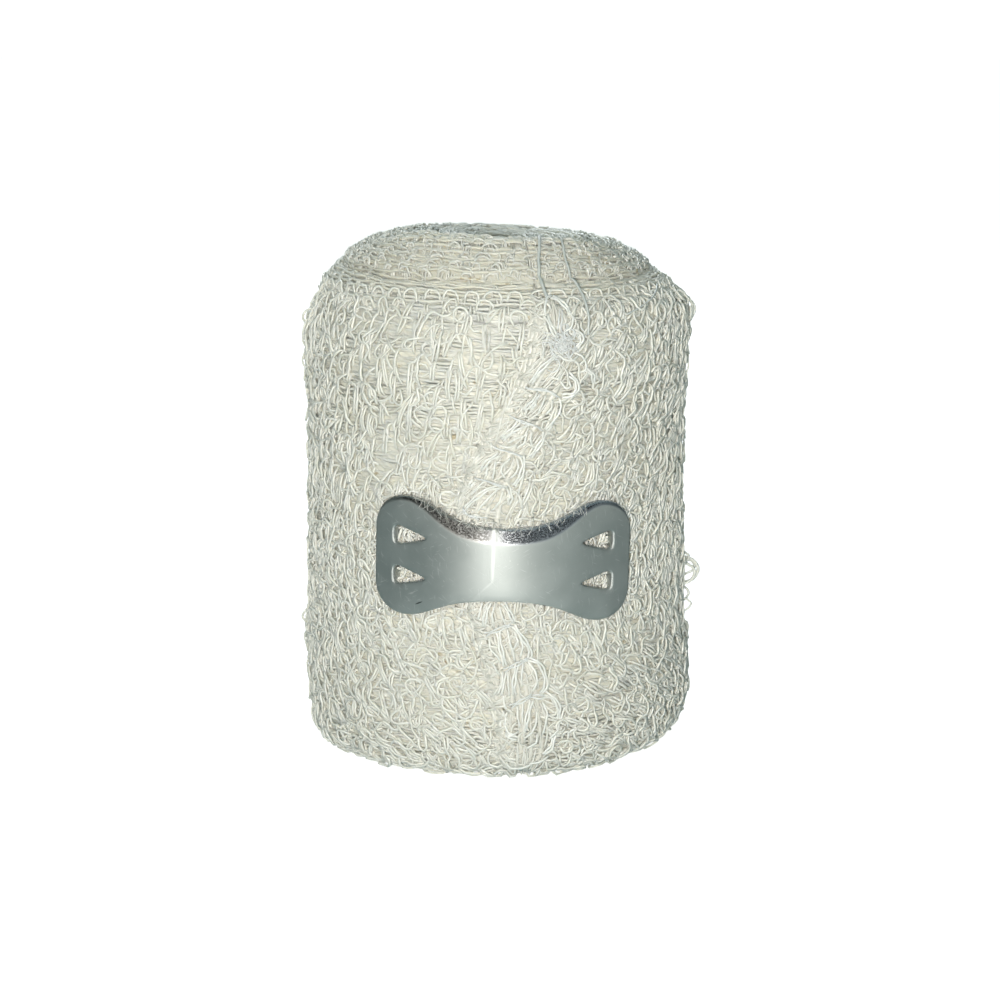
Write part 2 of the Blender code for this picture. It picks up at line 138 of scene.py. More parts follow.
class Wire:
    """A socket that can be used in sums."""

    def __init__(self, tree, socket):
        self.tree = tree
        self.socket = socket

    def maths(self, operation, *others):
        node = self.tree.nodes.new("ShaderNodeMath")
        node.operation = operation
        for slot, value in zip(node.inputs, (self, *others)):
            plug(self.tree, value, slot)
        return Wire(self.tree, node.outputs[0])

    def __add__(self, other):
        return self.maths("ADD", other)

    def __mul__(self, other):
        return self.maths("MULTIPLY", other)

    def __sub__(self, other):
        return self.maths("SUBTRACT", other)

    def __rsub__(self, other):
        return self.maths("MULTIPLY", -1.0).maths("ADD", other)

    __radd__ = __add__
    __rmul__ = __mul__

    def sine(self):
        return self.maths("SINE")

    def between(self, low, high):
        """0 below low, 1 above high, and smooth in between."""
        node = self.tree.nodes.new("ShaderNodeMapRange")
        node.interpolation_type = "SMOOTHSTEP"
        for name, value in (("Value", self), ("From Min", low), ("From Max", high)):
            plug(self.tree, value, node.inputs[name])
        return Wire(self.tree, node.outputs["Result"])

    def axes(self):
        """The X, Y and Z of a place, each as a socket of its own."""
        node = self.tree.nodes.new("ShaderNodeSeparateXYZ")
        plug(self.tree, self, node.inputs[0])
        return [Wire(self.tree, output) for output in node.outputs]


# %% Material helper
class Finish:
    """A new material, and the one way to add any node to it."""

    def __init__(self, name, **constants):
        self.material = bpy.data.materials.new(name)
        self.material.use_nodes = True
        self.tree = self.material.node_tree
        self.surface = self.tree.nodes["Principled BSDF"]
        for socket, value in constants.items():
            self.surface.inputs[socket.replace("_", " ")].default_value = value

    def node(self, kind, settings=None, output=0, **inputs):
        made = self.tree.nodes.new("ShaderNode" + kind)
        for name, value in (settings or {}).items():
            setattr(made, name, value)
        for name, value in inputs.items():
            plug(self.tree, value, made.inputs[name.replace("_", " ")])
        return Wire(self.tree, made.outputs[output])

    def colour_mix(self, share, first, second):
        made = self.tree.nodes.new("ShaderNodeMix")
        made.data_type = "RGBA"
        for slot, value in zip((made.inputs[0], made.inputs[6], made.inputs[7]), (share, first, second)):
            plug(self.tree, value, slot)
        return Wire(self.tree, made.outputs[2])

    def place(self):
        """Object coordinates: metres on the finished piece."""
        return self.node("TexCoord", output=3)

    def attribute(self, name):
        return self.node("Attribute", {"attribute_name": name}, output=2)

    def noise(self, scale, detail=2.0, roughness=0.5):
        return self.node("TexNoise", Vector=self.place(), Scale=scale, Detail=detail, Roughness=roughness)

    def bump(self, height, distance_mm):
        return self.node("Bump", Height=height, Distance=distance_mm * MM, Strength=1.0)

    def feed(self, **sockets):
        for name, wire in sockets.items():
            self.tree.links.new(wire.socket, self.surface.inputs[name.replace("_", " ")])
        return self.material


# %% Screen colours
def srgb(red, green, blue):
    """A colour given as it looks on screen, from 0 to 255, as a shader's linear colour."""
    def linear(value):
        value /= 255
        return value / 12.92 if value <= 0.04045 else ((value + 0.055) / 1.055) ** 2.4

    return (linear(red), linear(green), linear(blue), 1.0)

print("a mid grey on screen is", round(srgb(128, 128, 128)[0], 3), "in a shader")

# %% [markdown]
# ## The room
# The room is pale all round. It is a little brighter behind the camera, overhead and up
# from the table, and a little darker on the right, so that the roll's sides fall off as
# they do in the photograph. Metal shows what stands round it, so the clip gets two cards
# of its own: a pale panel right of the camera lights the right half of its sheet, and a
# black card high in front makes the dark band along its rolled edge, together with a dark
# reflection painted into the metal's colour there. A white wall far away is seen by the
# camera alone. None of these is part of the roll: they are all the stage.

# %% World
WORLD_COLOUR = (0.775, 0.985, 0.97, 1)
EVEN_LEVEL = 0.12
BEHIND_CAMERA_LEVEL = 0.24
OVERHEAD_LEVEL = 0.23
BELOW_LEVEL = 0.26
RIGHT_SHADE = 0.05


def make_world():
    """Pale all round, with a brightness that depends on the direction."""
    world = bpy.data.worlds.new("studio")
    bpy.context.scene.world = world
    world.use_nodes = True
    tree = world.node_tree
    background = tree.nodes["Background"]
    background.inputs["Color"].default_value = WORLD_COLOUR
    coordinates = tree.nodes.new("ShaderNodeTexCoord")
    x, y, z = Wire(tree, coordinates.outputs["Generated"]).axes()
    level = (
        (y * -1.0).between(-0.3, 1.0) * BEHIND_CAMERA_LEVEL
        + z.between(0.2, 1.0) * OVERHEAD_LEVEL
        + (z * -1.0).between(0.0, 0.6) * BELOW_LEVEL
        + EVEN_LEVEL
        - x.between(0.1, 1.0) * RIGHT_SHADE
    )
    tree.links.new(level.socket, background.inputs["Strength"])


make_world()
print("world:", bpy.context.scene.world.name)


# %% Wall, cards and floor
def make_backdrop():
    """A white wall far round the scene, which only the camera sees."""
    finish = Finish(
        "white_wall", Roughness=1.0, Emission_Strength=1.0, Emission_Color=(1.0, 1.0, 1.0, 1)
    )
    finish.feed(Base_Color=finish.noise(3.0) * 0.04 + 0.9)
    bpy.ops.mesh.primitive_cylinder_add(vertices=96, radius=4, depth=8, end_fill_type="NOTHING")
    wall = bpy.context.object
    wall.name = "backdrop"
    wall.data.materials.append(finish.material)
    wall.visible_diffuse = wall.visible_glossy = wall.visible_transmission = wall.visible_shadow = False


# %% Cards
def make_card(name, place, size, turn_deg, material):
    """A flat card that only shiny pieces see."""
    bpy.ops.mesh.primitive_plane_add(
        size=1.0, location=place, rotation=[math.radians(angle) for angle in turn_deg]
    )
    card = bpy.context.object
    card.name = name
    card.scale = (*size, 1.0)
    card.data.materials.append(material)
    card.visible_camera = card.visible_diffuse = card.visible_shadow = False


# %% Floor
def make_floor():
    """A plain pale plane. The light from below comes from the world, so the floor lets it pass."""
    mesh = bmesh.new()
    bmesh.ops.create_grid(mesh, x_segments=8, y_segments=8, size=60.0)
    data = bpy.data.meshes.new("floor")
    mesh.to_mesh(data)
    mesh.free()
    floor = bpy.data.objects.new("floor", data)
    bpy.context.scene.collection.objects.link(floor)
    floor.location.z = -0.2 * MM
    finish = Finish(
        "pale_floor", Roughness=0.9, Emission_Strength=0.80, Emission_Color=(1.0, 0.985, 0.96, 1)
    )
    colour = finish.colour_mix(finish.noise(30.0, 3.0), (0.88, 0.88, 0.87, 1), (0.91, 0.91, 0.905, 1))
    data.materials.append(finish.feed(Base_Color=colour))
    floor.visible_diffuse = floor.visible_glossy = False


# %% Setting the stage
make_backdrop()
panel = Finish(
    "window_light", Roughness=1.0, Emission_Strength=0.85, Emission_Color=(0.93, 1.0, 0.96, 1.0)
)
panel.feed(Base_Color=panel.noise(5.0) * 0.1 + 0.1)
make_card("window", (0.72, -0.95, 0.10), (1.6, 1.0), (90, 0, 30), panel.material)
black = Finish("black_card", Base_Color=(0.02, 0.02, 0.02, 1), Roughness=0.9)
make_card("black_flag", (0, -0.95, 0.80), (6.0, 1.3), (75, 0, 0), black.material)
make_floor()

# %% [markdown]
# ## A map of the cloth
# Thousands of yarns have to lie on the roll, so they need a quick way from "this bearing,
# this far up the cloth, this far above it" to a point. The roll's profile is one curve,
# from the rim of its foot, up the side and in over the dome. Rays from that curve to the
# fixed solid give how far the solid stands from it at each place, and the step of the free
# end, the crease and the lumps come along with them.

# %% Helpers for lines and bearings
def blend_step(value, low, high):
    """0 below low, 1 above high, and smooth in between."""
    share = np.clip((value - low) / (high - low), 0, 1)
    return share * share * (3 - 2 * share)


def signed_bearing(bearing):
    """The same bearing, between minus and plus half a turn: 0 is the front, plus is right."""
    return np.mod(bearing + math.pi, FULL_TURN) - math.pi


def away_from_axis(bearing):
    """The level directions straight away from the axis."""
    return np.stack([np.sin(bearing), -np.cos(bearing), 0 * bearing], axis=-1)


def round_axis(radius, bearing, height):
    """Points in millimetres at a radius, bearing and height round the roll's axis."""
    x = AXIS_X + radius * np.sin(bearing)
    y = AXIS_Y - radius * np.cos(bearing)
    return np.stack([x, y, height], axis=-1)


def smoothed(line, times):
    """A line with its bends softened. Its two ends stay."""
    for _ in range(times):
        line[1:-1] = (line[:-2] + 2 * line[1:-1] + line[2:]) / 4
    return line


def lengths_along(lines):
    """How far along its line each point is."""
    steps = np.linalg.norm(np.diff(lines, axis=-2), axis=-1)
    return np.concatenate([np.zeros_like(steps[..., :1]), np.cumsum(steps, axis=-1)], axis=-1)


def at_lengths(line, along, wanted):
    """A line's points at wanted lengths along it."""
    return np.stack([np.interp(wanted, along, column) for column in line.T], axis=1)


def unit(vectors):
    return vectors / (np.linalg.norm(vectors, axis=-1, keepdims=True) + 1e-9)


# %% Profile
FRONT_PROFILE = (  # radius and height in millimetres, from the foot's rim to the dome's middle
    (24.8, 0.0), (26.6, 0.9), (27.9, 2.8), (28.5, 6.5), (28.5, 12), (28.1, 20), (27.9, 28),
    (27.85, 35), (27.85, 43), (27.85, 50), (28.0, 58), (27.8, 62), (27.1, 65), (26.2, 67.5),
    (24.4, 70), (22.2, 72), (20, 73.3), (18, 74.2), (15, 74.9), (11, 75), (6, 74.9), (2, 74.5),
    (0.2, 74.2),
)
STEP = 0.4  # millimetres up the cloth between two samples
BEARINGS = 720
BEARING_STEPS = np.arange(BEARINGS) / BEARINGS * FULL_TURN
SIDE_TOP = 74.6  # above this height the profile turns flat, so a height says nothing more
SIDE_RADIUS = 28.0  # turns millimetres along the side into a bearing
ROLL_HEIGHT = 75.0


def even_steps(points, step):
    """The same line with points a fixed step apart, gently rounded."""
    points = np.array(points, float)
    along = lengths_along(points)
    return smoothed(at_lengths(points, along, np.arange(0, along[-1], step)), 6)


PROFILE = even_steps(FRONT_PROFILE, STEP)
ROWS = len(PROFILE)
UP_STEPS = np.arange(ROWS) * STEP
CLOTH_TOP = (ROWS - 1) * STEP
slope = np.gradient(PROFILE, axis=0)
slope /= np.linalg.norm(slope, axis=1)[:, None]
OUTWARDS = np.stack([slope[:, 1], -slope[:, 0]], axis=1)


def up_at_height(height):
    """How far up the cloth a height on the side is."""
    side = PROFILE[: int(np.argmax(PROFILE[:, 1] > SIDE_TOP))]
    return np.interp(height, side[:, 1], np.arange(len(side)) * STEP)


def height_at(up):
    return np.interp(up, UP_STEPS, PROFILE[:, 1])


def radius_at(up):
    return np.interp(up, UP_STEPS, PROFILE[:, 0])


print("from the rim to the middle of the dome:", round(CLOTH_TOP, 1), "mm")

# %% Where the free end is cut
FREE_END = (  # height and offset right of the middle, in millimetres
    (0, 1.2), (9, 0.8), (17, -0.8), (25, -3.2), (33, -5.6), (41, -5.4), (49, -1.5), (57, 4.0),
    (64, 6.2), (75, 5.6),
)
END_RADIUS = 28.4
END_HEIGHTS = np.linspace(0, ROLL_HEIGHT, 151)
END_OFFSETS = smoothed(np.interp(END_HEIGHTS, *np.array(FREE_END, float).T), 40)


def end_bearing(up):
    """Where the strip's cut end lies, for steps up the cloth."""
    offset = np.interp(height_at(up), END_HEIGHTS, END_OFFSETS)
    return np.arcsin(np.clip(offset / END_RADIUS, -1, 1))


print("the cut end lies between", END_OFFSETS.min().round(1), "and", END_OFFSETS.max().round(1), "mm")

# %% Rays to the solid
RAY_START = 5.0  # millimetres outside the profile
RAY_LENGTH = 10.0


def solid_rise():
    """How far the roll's solid stands out of the profile, for each bearing and step up."""
    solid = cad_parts["bandage_roll"].data
    tree = BVHTree.FromPolygons(
        [v.co / MM for v in solid.vertices], [tuple(p.vertices) for p in solid.polygons]
    )
    rise = np.zeros((BEARINGS, ROWS))
    for i, angle in enumerate(BEARING_STEPS):
        sine, cosine = math.sin(angle), -math.cos(angle)
        for j, (place, out) in enumerate(zip(PROFILE, OUTWARDS)):
            radius, height = place + RAY_START * out
            origin = Vector((AXIS_X + radius * sine, AXIS_Y + radius * cosine, height))
            towards = Vector((-out[0] * sine, -out[0] * cosine, -out[1]))
            distance = tree.ray_cast(origin, towards, RAY_LENGTH)[3]
            if distance is not None:
                rise[i, j] = RAY_START - distance
    return rise


def over_pits(rise, reach):
    """Fills pits narrower than two reaches, such as the pockets for the clip's teeth."""
    grown = np.max([np.roll(rise, k, axis=0) for k in range(-reach, reach + 1)], axis=0)
    return np.min([np.roll(grown, k, axis=0) for k in range(-reach, reach + 1)], axis=0)


# %% Front rim, crease and cut end
RIM_LIFT = 1.9  # how far the woven edge stands up at the front
RIM_BEARING = -2.0  # degrees
RIM_HALF_SPAN = 78.0
RIM_FADE = 46.0
RIM_RADIUS = 16.2
RIM_OUTER_REACH = 3.4
RIM_INNER_REACH = 2.0
CREASE_HEIGHT = 71.3
CREASE_HALF_WIDTH = 0.7
CREASE_DEPTH = 0.35
CREASE_FRONT_DEPTH = 0.5
RAMP = math.radians(2.4)  # how wide the solid's step at the cut end is, each way
PIT_REACH = 3


def front_rim():
    """The last turn's woven edge stands up a little on the front of the dome."""
    away = np.abs(np.degrees(signed_bearing(BEARING_STEPS)) - RIM_BEARING)
    round_it = blend_step(RIM_HALF_SPAN - away, 0, RIM_FADE)
    from_rim = PROFILE[:, 0] - RIM_RADIUS
    over = np.exp(-((from_rim / np.where(from_rim > 0, RIM_OUTER_REACH, RIM_INNER_REACH)) ** 2))
    return RIM_LIFT * round_it[:, None] * over[None, :]


def crease():
    """The fold under the woven edge, deepest at the front."""
    deep = CREASE_DEPTH + CREASE_FRONT_DEPTH * np.clip(np.cos(BEARING_STEPS), 0, 1)
    waver = 0.3 * np.sin(3 * BEARING_STEPS + 1) + 0.15 * np.sin(11 * BEARING_STEPS)
    away = (UP_STEPS[None] - float(up_at_height(CREASE_HEIGHT)) - waver[:, None]) / CREASE_HALF_WIDTH
    return -deep[:, None] * np.exp(-(away ** 2))


def crisp_end(rise):
    """The solid's step at the cut end is a short ramp; cloth has a clean edge there."""
    rise = rise.copy()
    ends = end_bearing(UP_STEPS)
    for j in range(ROWS):
        away = signed_bearing(BEARING_STEPS - ends[j])
        for side in (-1, 1):
            near = (away * side >= 0) & (np.abs(away) < RAMP)
            source = int(round((ends[j] + side * RAMP) / FULL_TURN * BEARINGS)) % BEARINGS
            rise[near, j] = rise[source, j]
    return rise


# %% The map
RISE = crisp_end(over_pits(solid_rise(), PIT_REACH)) + front_rim() + crease()
print("solid stands out of the profile by", RISE.min().round(2), "to", RISE.max().round(2), "mm")

# %% Places on the cloth
LEAST_HEIGHT = 0.22  # the lowest yarns lie flat on the table


def cloth_point(bearing, up, above):
    """Points in millimetres on the cloth, from arrays of bearings, steps up and heights above it."""
    i = np.mod(bearing, FULL_TURN) / FULL_TURN * BEARINGS
    j = np.clip(up / STEP, 0, ROWS - 1.001)
    i0 = np.floor(i).astype(int)
    j0 = np.floor(j).astype(int)
    fi, fj = i - i0, j - j0
    i0 = i0 % BEARINGS
    i1 = (i0 + 1) % BEARINGS
    low = RISE[i0, j0] * (1 - fi) + RISE[i1, j0] * fi
    high = RISE[i0, j0 + 1] * (1 - fi) + RISE[i1, j0 + 1] * fi
    stand = low * (1 - fj) + high * fj + above
    place = PROFILE[j0] * (1 - fj)[..., None] + PROFILE[j0 + 1] * fj[..., None]
    out = OUTWARDS[j0] * (1 - fj)[..., None] + OUTWARDS[j0 + 1] * fj[..., None]
    radius = place[..., 0] + stand * out[..., 0]
    height = np.maximum(place[..., 1] + stand * out[..., 1], LEAST_HEIGHT)
    return round_axis(radius, bearing, height)


def cloth_outwards(bearing, up):
    """The directions straight out of the cloth at those places."""
    out = OUTWARDS[np.clip(up / STEP, 0, ROWS - 1).astype(int)]
    return np.stack([out[..., 0] * np.sin(bearing), -out[..., 0] * np.cos(bearing), out[..., 1]], -1)


front = cloth_point(np.zeros(1), np.full(1, 35.0), np.zeros(1))[0]
print("the cloth's front, 35 mm up, is at", front.round(1), "mm")


# %% [markdown]
# ## Yarns as tubes
# A yarn is a thin tube along a line. A curve with a round bevel could make one, but there
# are thousands, and one mesh from arrays is much quicker. Each call takes many lines with
# the same number of points, gives every tube a square-ish section that smooth shading
# rounds off, closes its two ends, and keeps the length along the yarn as a UV map, so that
# the twist of its plies can follow it. A tint number for each yarn lets the finish vary
# from one yarn to the next.


# %% Tube builder
def walls(index):
    """Four-cornered faces between neighbouring rings of numbered points."""
    after = np.roll(index, -1, axis=-1)
    corners = (index[..., :-1, :], index[..., 1:, :], after[..., 1:, :], after[..., :-1, :])
    return np.stack(corners, axis=-1)


def wall_uvs(along, here, there):
    """UV places of those faces: how far round their two sides are, and how far along."""
    low, high = along[..., :-1, None], along[..., 1:, None]
    corners = ((here, low), (here, high), (there, high), (there, low))
    return np.stack([np.stack(np.broadcast_arrays(*corner), -1) for corner in corners], axis=-2)


# %% Yarns
class Yarns:
    """Collects tubes, and joins them into one piece."""

    def __init__(self):
        self.points, self.quads, self.caps = [], [], []
        self.uvs, self.tints = [], []
        self.count = 0

    def add(self, lines, outwards, radii, tints, sides=4, squash=1.0):
        """lines and outwards are (many, points, 3); radii (many, points) or a number."""
        radii = np.broadcast_to(np.asarray(radii, float), lines.shape[:2])
        along = unit(np.gradient(lines, axis=1))
        side = unit(np.cross(along, outwards))
        up = np.cross(side, along)
        angles = np.arange(sides) / sides * FULL_TURN + FULL_TURN / (8 if sides == 4 else 4)
        ring = (
            np.cos(angles)[:, None] * side[:, :, None, :]
            + squash * np.sin(angles)[:, None] * up[:, :, None, :]
        )
        share = np.arange(sides) / sides
        skin = lines[:, :, None, :] + radii[:, :, None, None] * ring
        self.add_skin(skin, lengths_along(lines), (share, share + 1 / sides), tints)

    def add_skin(self, rings, along, around, tints, inside_out=False):
        """Skins rings of points, (many, points, sides, 3), and closes both ends of each."""
        many, n, sides = rings.shape[:3]
        index = self.count + np.arange(many * n * sides).reshape(many, n, sides)
        turn = -1 if inside_out else 1
        self.points.append(rings.reshape(-1, 3))
        self.quads.append(walls(index).reshape(-1, 4))
        self.uvs.append(wall_uvs(along, *around).reshape(-1, 2))
        self.caps.append(np.concatenate([index[:, 0, ::turn], index[:, -1, ::-turn]]))
        self.tints.append(np.repeat(np.broadcast_to(tints, (many,)), n * sides))
        self.count += many * n * sides

    def triangles(self):
        return 2 * sum(len(q) for q in self.quads) + sum(len(c) * (c.shape[1] - 2) for c in self.caps)

    def piece(self, name, material):
        data = bpy.data.meshes.new(name)
        points = np.concatenate(self.points) * MM
        data.vertices.add(len(points))
        data.vertices.foreach_set("co", points.astype(np.float32).ravel())
        quads = np.concatenate(self.quads)
        sizes = np.concatenate([np.full(len(quads), 4)] + [np.full(len(c), c.shape[1]) for c in self.caps])
        corners = np.concatenate([quads.ravel()] + [c.ravel() for c in self.caps])
        data.loops.add(len(corners))
        data.loops.foreach_set("vertex_index", corners.astype(np.int32))
        data.polygons.add(len(sizes))
        starts = np.concatenate([[0], np.cumsum(sizes)[:-1]])
        data.polygons.foreach_set("loop_start", starts.astype(np.int32))
        data.polygons.foreach_set("use_smooth", np.ones(len(sizes), bool))
        data.update(calc_edges=True)
        uv = np.zeros((len(corners), 2), np.float32)
        sides = np.concatenate(self.uvs)
        uv[: len(sides)] = sides
        data.uv_layers.new(name="along").data.foreach_set("uv", uv.ravel())
        tint = data.attributes.new("tint", "FLOAT", "POINT")
        tint.data.foreach_set("value", np.concatenate(self.tints).astype(np.float32))
        data.materials.append(material)
        item = bpy.data.objects.new(name, data)
        bpy.context.scene.collection.objects.link(item)
        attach(item, "root")
        print(f"{name}: {self.triangles()} triangles")
        return item


def lay(yarns, bearing, up, above, radius, tint, **section):
    """One yarn through places on the cloth."""
    line = cloth_point(bearing, up, above)
    yarns.add(line[None], cloth_outwards(bearing, up)[None], radius, tint, **section)


# %% [markdown]
# ## Cotton
# Unbleached cotton is cream. Yarns that lie low in the gaps are given lower tints, which
# make them a little yellower and darker, a painted shade, and yarns that stand up are given
# higher tints, which make them almost white where they stand up into the light, a painted
# highlight. Every yarn is two plies twisted together, which shows as fine slanting ridges.
# A picture of cloth could be laid on, but it wouldn't follow single yarns, so the plies are
# a sine of the length along each yarn; the same sine also darkens the colour a little in the
# grooves between the plies, a painted shade. Noises add small brown flecks, most of them on
# the ground cotton.


# %% Cotton finishes
def cotton(name, light, dark, twist_pitch=0.8, twist=0.035, shine=0.38, glow=0.5, brown_fleck_share=0.25):
    finish = Finish(name, Sheen_Weight=0.08, Subsurface_Weight=glow, Subsurface_Scale=0.6 * MM)
    finish.surface.inputs["Subsurface Radius"].default_value = (1.0, 0.95, 0.85)
    finish.surface.inputs["Specular IOR Level"].default_value = 0.75
    cloud = finish.noise(160.0, 3.0)
    speck = finish.noise(2600.0, 2.0)
    share = (finish.attribute("tint") * 0.65 + cloud * 0.3 + speck * 0.25).between(0.15, 0.95)
    around, along, _ = finish.node("UVMap", {"uv_map": "along"}).axes()
    plies = ((along * (FULL_TURN / twist_pitch)) + around * (2 * FULL_TURN)).sine() * 0.5 + 0.5
    # Painted shade: the colour leans to the dark end in the grooves between the plies.
    colour = finish.colour_mix(share * 0.85 + plies * 0.15, dark, light)
    # Small brown flecks from two noises.
    brown_flecks = finish.noise(420.0, 2.0).between(0.60, 0.70) * finish.noise(1300.0, 1.0).between(0.52, 0.66)
    colour = finish.colour_mix(brown_flecks * brown_fleck_share, colour, srgb(176, 156, 112))
    height = plies * 0.7 + speck * 0.6
    rough = speck * 0.25 + (shine - 0.1)
    return finish.feed(Base_Color=colour, Roughness=rough, Normal=finish.bump(height, twist))


LOOP_COTTON = cotton("loop_cotton", srgb(239, 238, 229), srgb(210, 208, 193), shine=0.34)
GROUND_COTTON = cotton(
    "ground_cotton",
    srgb(238, 236, 226),
    srgb(216, 212, 195),
    twist_pitch=1.2,
    twist=0.05,
    shine=0.45,
    glow=0.8,
    brown_fleck_share=0.7,
)
print("finishes:", [m.name for m in bpy.data.materials])

# %% [markdown]
# ## The wound strip
# The strip is one sheet, wound about twenty-five times round, and only its last turn shows
# at the sides. On the foot and on the dome the edges of all the turns show as a tight
# spiral. A turned solid with grooves could stand for it, but it is made as the real one
# is: a section of the strip, thin with two rounded woven edges, swept along the winding
# from the cut end to the eye.

# %% Winding
TURN = 1.05  # millimetres from one turn to the next
TURNS = 24.6
STRIP_HALF_THICKNESS = 0.34
GROUND_DEPTH = 0.80  # the middle of the last turn's cloth, below the top of its pile
LAST_TURN_RADIUS = 27.2
EYE_RADIUS = 1.1
END_GAP = 0.008  # the last turn stops this bearing short of lying on its own cut end
FOOT_RADII = (0, 22.4, 23.6, 24.7, 25.6, 27.0)
FOOT_HEIGHTS = (0.35, 0.45, 0.9, 2.6, 5.0, 7.0)
SUNK_RADII = (2.0, 12.4, 13.6)
SUNK_DEPTHS = (0.2, 0.3, 1.7)  # the turns next to the last one end a little below its edge
SELVAGE_UP = float(up_at_height(74.5)) + 3.4
UPPER_PROFILE = PROFILE[int(np.argmax(PROFILE[:, 0])):][::-1]
print("upper edge of the last turn lies", round(SELVAGE_UP, 1), "mm up the cloth")


# %% Winding the strip
def noise_wave(rng, turned, low, high, count):
    """A smooth uneven wave along the winding: a few sines with random starts."""
    total = np.zeros_like(turned)
    for _ in range(count):
        total += np.sin(turned * rng.uniform(low, high) + rng.uniform(0, FULL_TURN))
    return total / count


def strip_rows():
    """Shares across the strip, close together near both edges."""
    edge = np.array([0, 0.004, 0.014, 0.035])
    side = np.linspace(0.07, 0.67, 13)
    shoulder = np.linspace(0.70, 0.94, 12)
    return np.concatenate([edge, side, shoulder, 1 - edge[::-1]])


def wind_strip(shares):
    """The middle of the strip's cloth: the outer turn on the cloth map, the rest inside it."""
    rng = np.random.default_rng(11)
    outer = np.linspace(END_GAP, FULL_TURN - END_GAP, 200)
    inner = FULL_TURN + np.cumsum(np.full(1400, FULL_TURN / 28))
    turned = np.concatenate([outer, inner[inner < TURNS * FULL_TURN]])
    wave = noise_wave(rng, turned, 1.0, 9.0, 5)
    fine = noise_wave(rng, turned, 10.0, 30.0, 6)
    low_edge = 0.35 + 0.25 * wave + 0.15 * fine + 1.1 * np.exp(-(((turned - 0.75) / 0.5) ** 2))
    high_edge = SELVAGE_UP + 0.8 * wave + 0.25 * fine
    radius = LAST_TURN_RADIUS - TURN * (turned / FULL_TURN - 0.5)
    radius = radius + 0.12 * wave - 0.5 * np.exp(-np.maximum(turned - FULL_TURN, 0) / 0.7)
    top = np.interp(radius, UPPER_PROFILE[:, 0], UPPER_PROFILE[:, 1])
    top_edge = top - np.interp(radius, SUNK_RADII, SUNK_DEPTHS) + 0.35 * wave + 0.2 * fine
    foot_edge = np.interp(radius, FOOT_RADII, FOOT_HEIGHTS)
    foot_edge = foot_edge + 0.2 * (wave + fine) * np.clip(radius / 6, 0, 1)
    inside = (turned > FULL_TURN)[:, None]
    lines = []
    for share in shares:
        up = low_edge + share * (high_edge - low_edge)
        bearing = end_bearing(up) + turned
        last_turn = cloth_point(bearing, up, np.full_like(up, -GROUND_DEPTH))
        height = foot_edge + share * (top_edge - foot_edge)
        inner_turn = round_axis(np.clip(radius, EYE_RADIUS, None), bearing, height)
        lines.append(np.where(inside, inner_turn, last_turn))
    return np.stack(lines, axis=1)


strip_shares = strip_rows()
strip_middle = wind_strip(strip_shares)
print("columns along the winding:", len(strip_middle))


# %% Strip
def strip_piece(middle, shares):
    """The closed skin of the strip: its outer face, its inner face and its rounded edges."""
    out = unit(np.cross(np.gradient(middle, axis=0), np.gradient(middle, axis=1)))
    radial = away_from_axis(np.arctan2(middle[..., 0] - AXIS_X, AXIS_Y - middle[..., 1]))
    flip = np.sign((out * radial).sum(-1, keepdims=True) + 0.3 * out[..., 2:3])
    out = out * np.where(flip == 0, 1, flip)
    rounding = [0.35, 0.8, 1.1, 1.0]
    edge = np.array(rounding + [1.0] * (len(shares) - 8) + rounding[::-1])
    thick = (STRIP_HALF_THICKNESS * edge)[None, :, None]
    section = np.concatenate([middle + out * thick, (middle - out * thick)[:, ::-1]], axis=1)
    across = np.concatenate([shares, shares[::-1]]) * ROLL_HEIGHT
    skin = Yarns()
    along = lengths_along(middle[:, 5])[None]
    skin.add_skin(section[None], along, (across, np.roll(across, -1)), 0.4, inside_out=True)
    return skin.piece("wound_strip", GROUND_COTTON)


def turn_outwards(mesh):
    """Reverses all faces of a closed mesh whose skin looks inwards, and gives its volume."""
    volume = mesh.calc_volume(signed=True)
    if volume < 0:
        bmesh.ops.reverse_faces(mesh, faces=mesh.faces)
    return abs(volume)


strip = strip_piece(strip_middle, strip_shares)
skin = bmesh.new()
skin.from_mesh(strip.data)
print("strip volume:", round(turn_outwards(skin) * 1e6, 1), "ml")
skin.to_mesh(strip.data)
skin.free()
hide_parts("bandage_roll")


# %% [markdown]
# ## Ground rows
# The thick soft yarns that run along the strip go round the roll one above the other. Thin
# yarns cross over them in pairs and pinch them, so that each row looks like a course of
# small bricks. Bumps in a finish wouldn't show at the edge of the roll, so the rows are
# tubes with a flattened section that swell between two pinches.

# %% Rows
ROW_PITCH = 1.28
DOME_WIDENING = 0.3  # how much further apart the rows lie on the dome
PINCH_PITCH = 3.1
ROW_TOP = SELVAGE_UP - 0.4
FIRST_ROW = 0.35
DOME_START = up_at_height(71.6)
DOME_ROW = (DOME_START - FIRST_ROW) / ROW_PITCH
ROW_GAP = 0.012  # each row stops this bearing short of the cut end


def row_place(number):
    """How far up the cloth a row lies before it waves."""
    return FIRST_ROW + number * ROW_PITCH + max(number - DOME_ROW, 0) * DOME_WIDENING


def row_wave(number, bearing, phase):
    """Each row has a slow and a quick waviness of its own."""
    slow = 0.16 * np.sin(3 * bearing + phase[0] + number * 0.3)
    return slow + 0.10 * np.sin(17 * bearing + phase[1] + number * 1.7)


def uneven(rng, count, size):
    """A random line that changes slowly from point to point."""
    line = rng.normal(0, 1, count)
    line = (np.roll(line, 1) + 2 * line + np.roll(line, -1)) / 4
    return line * size * 1.6


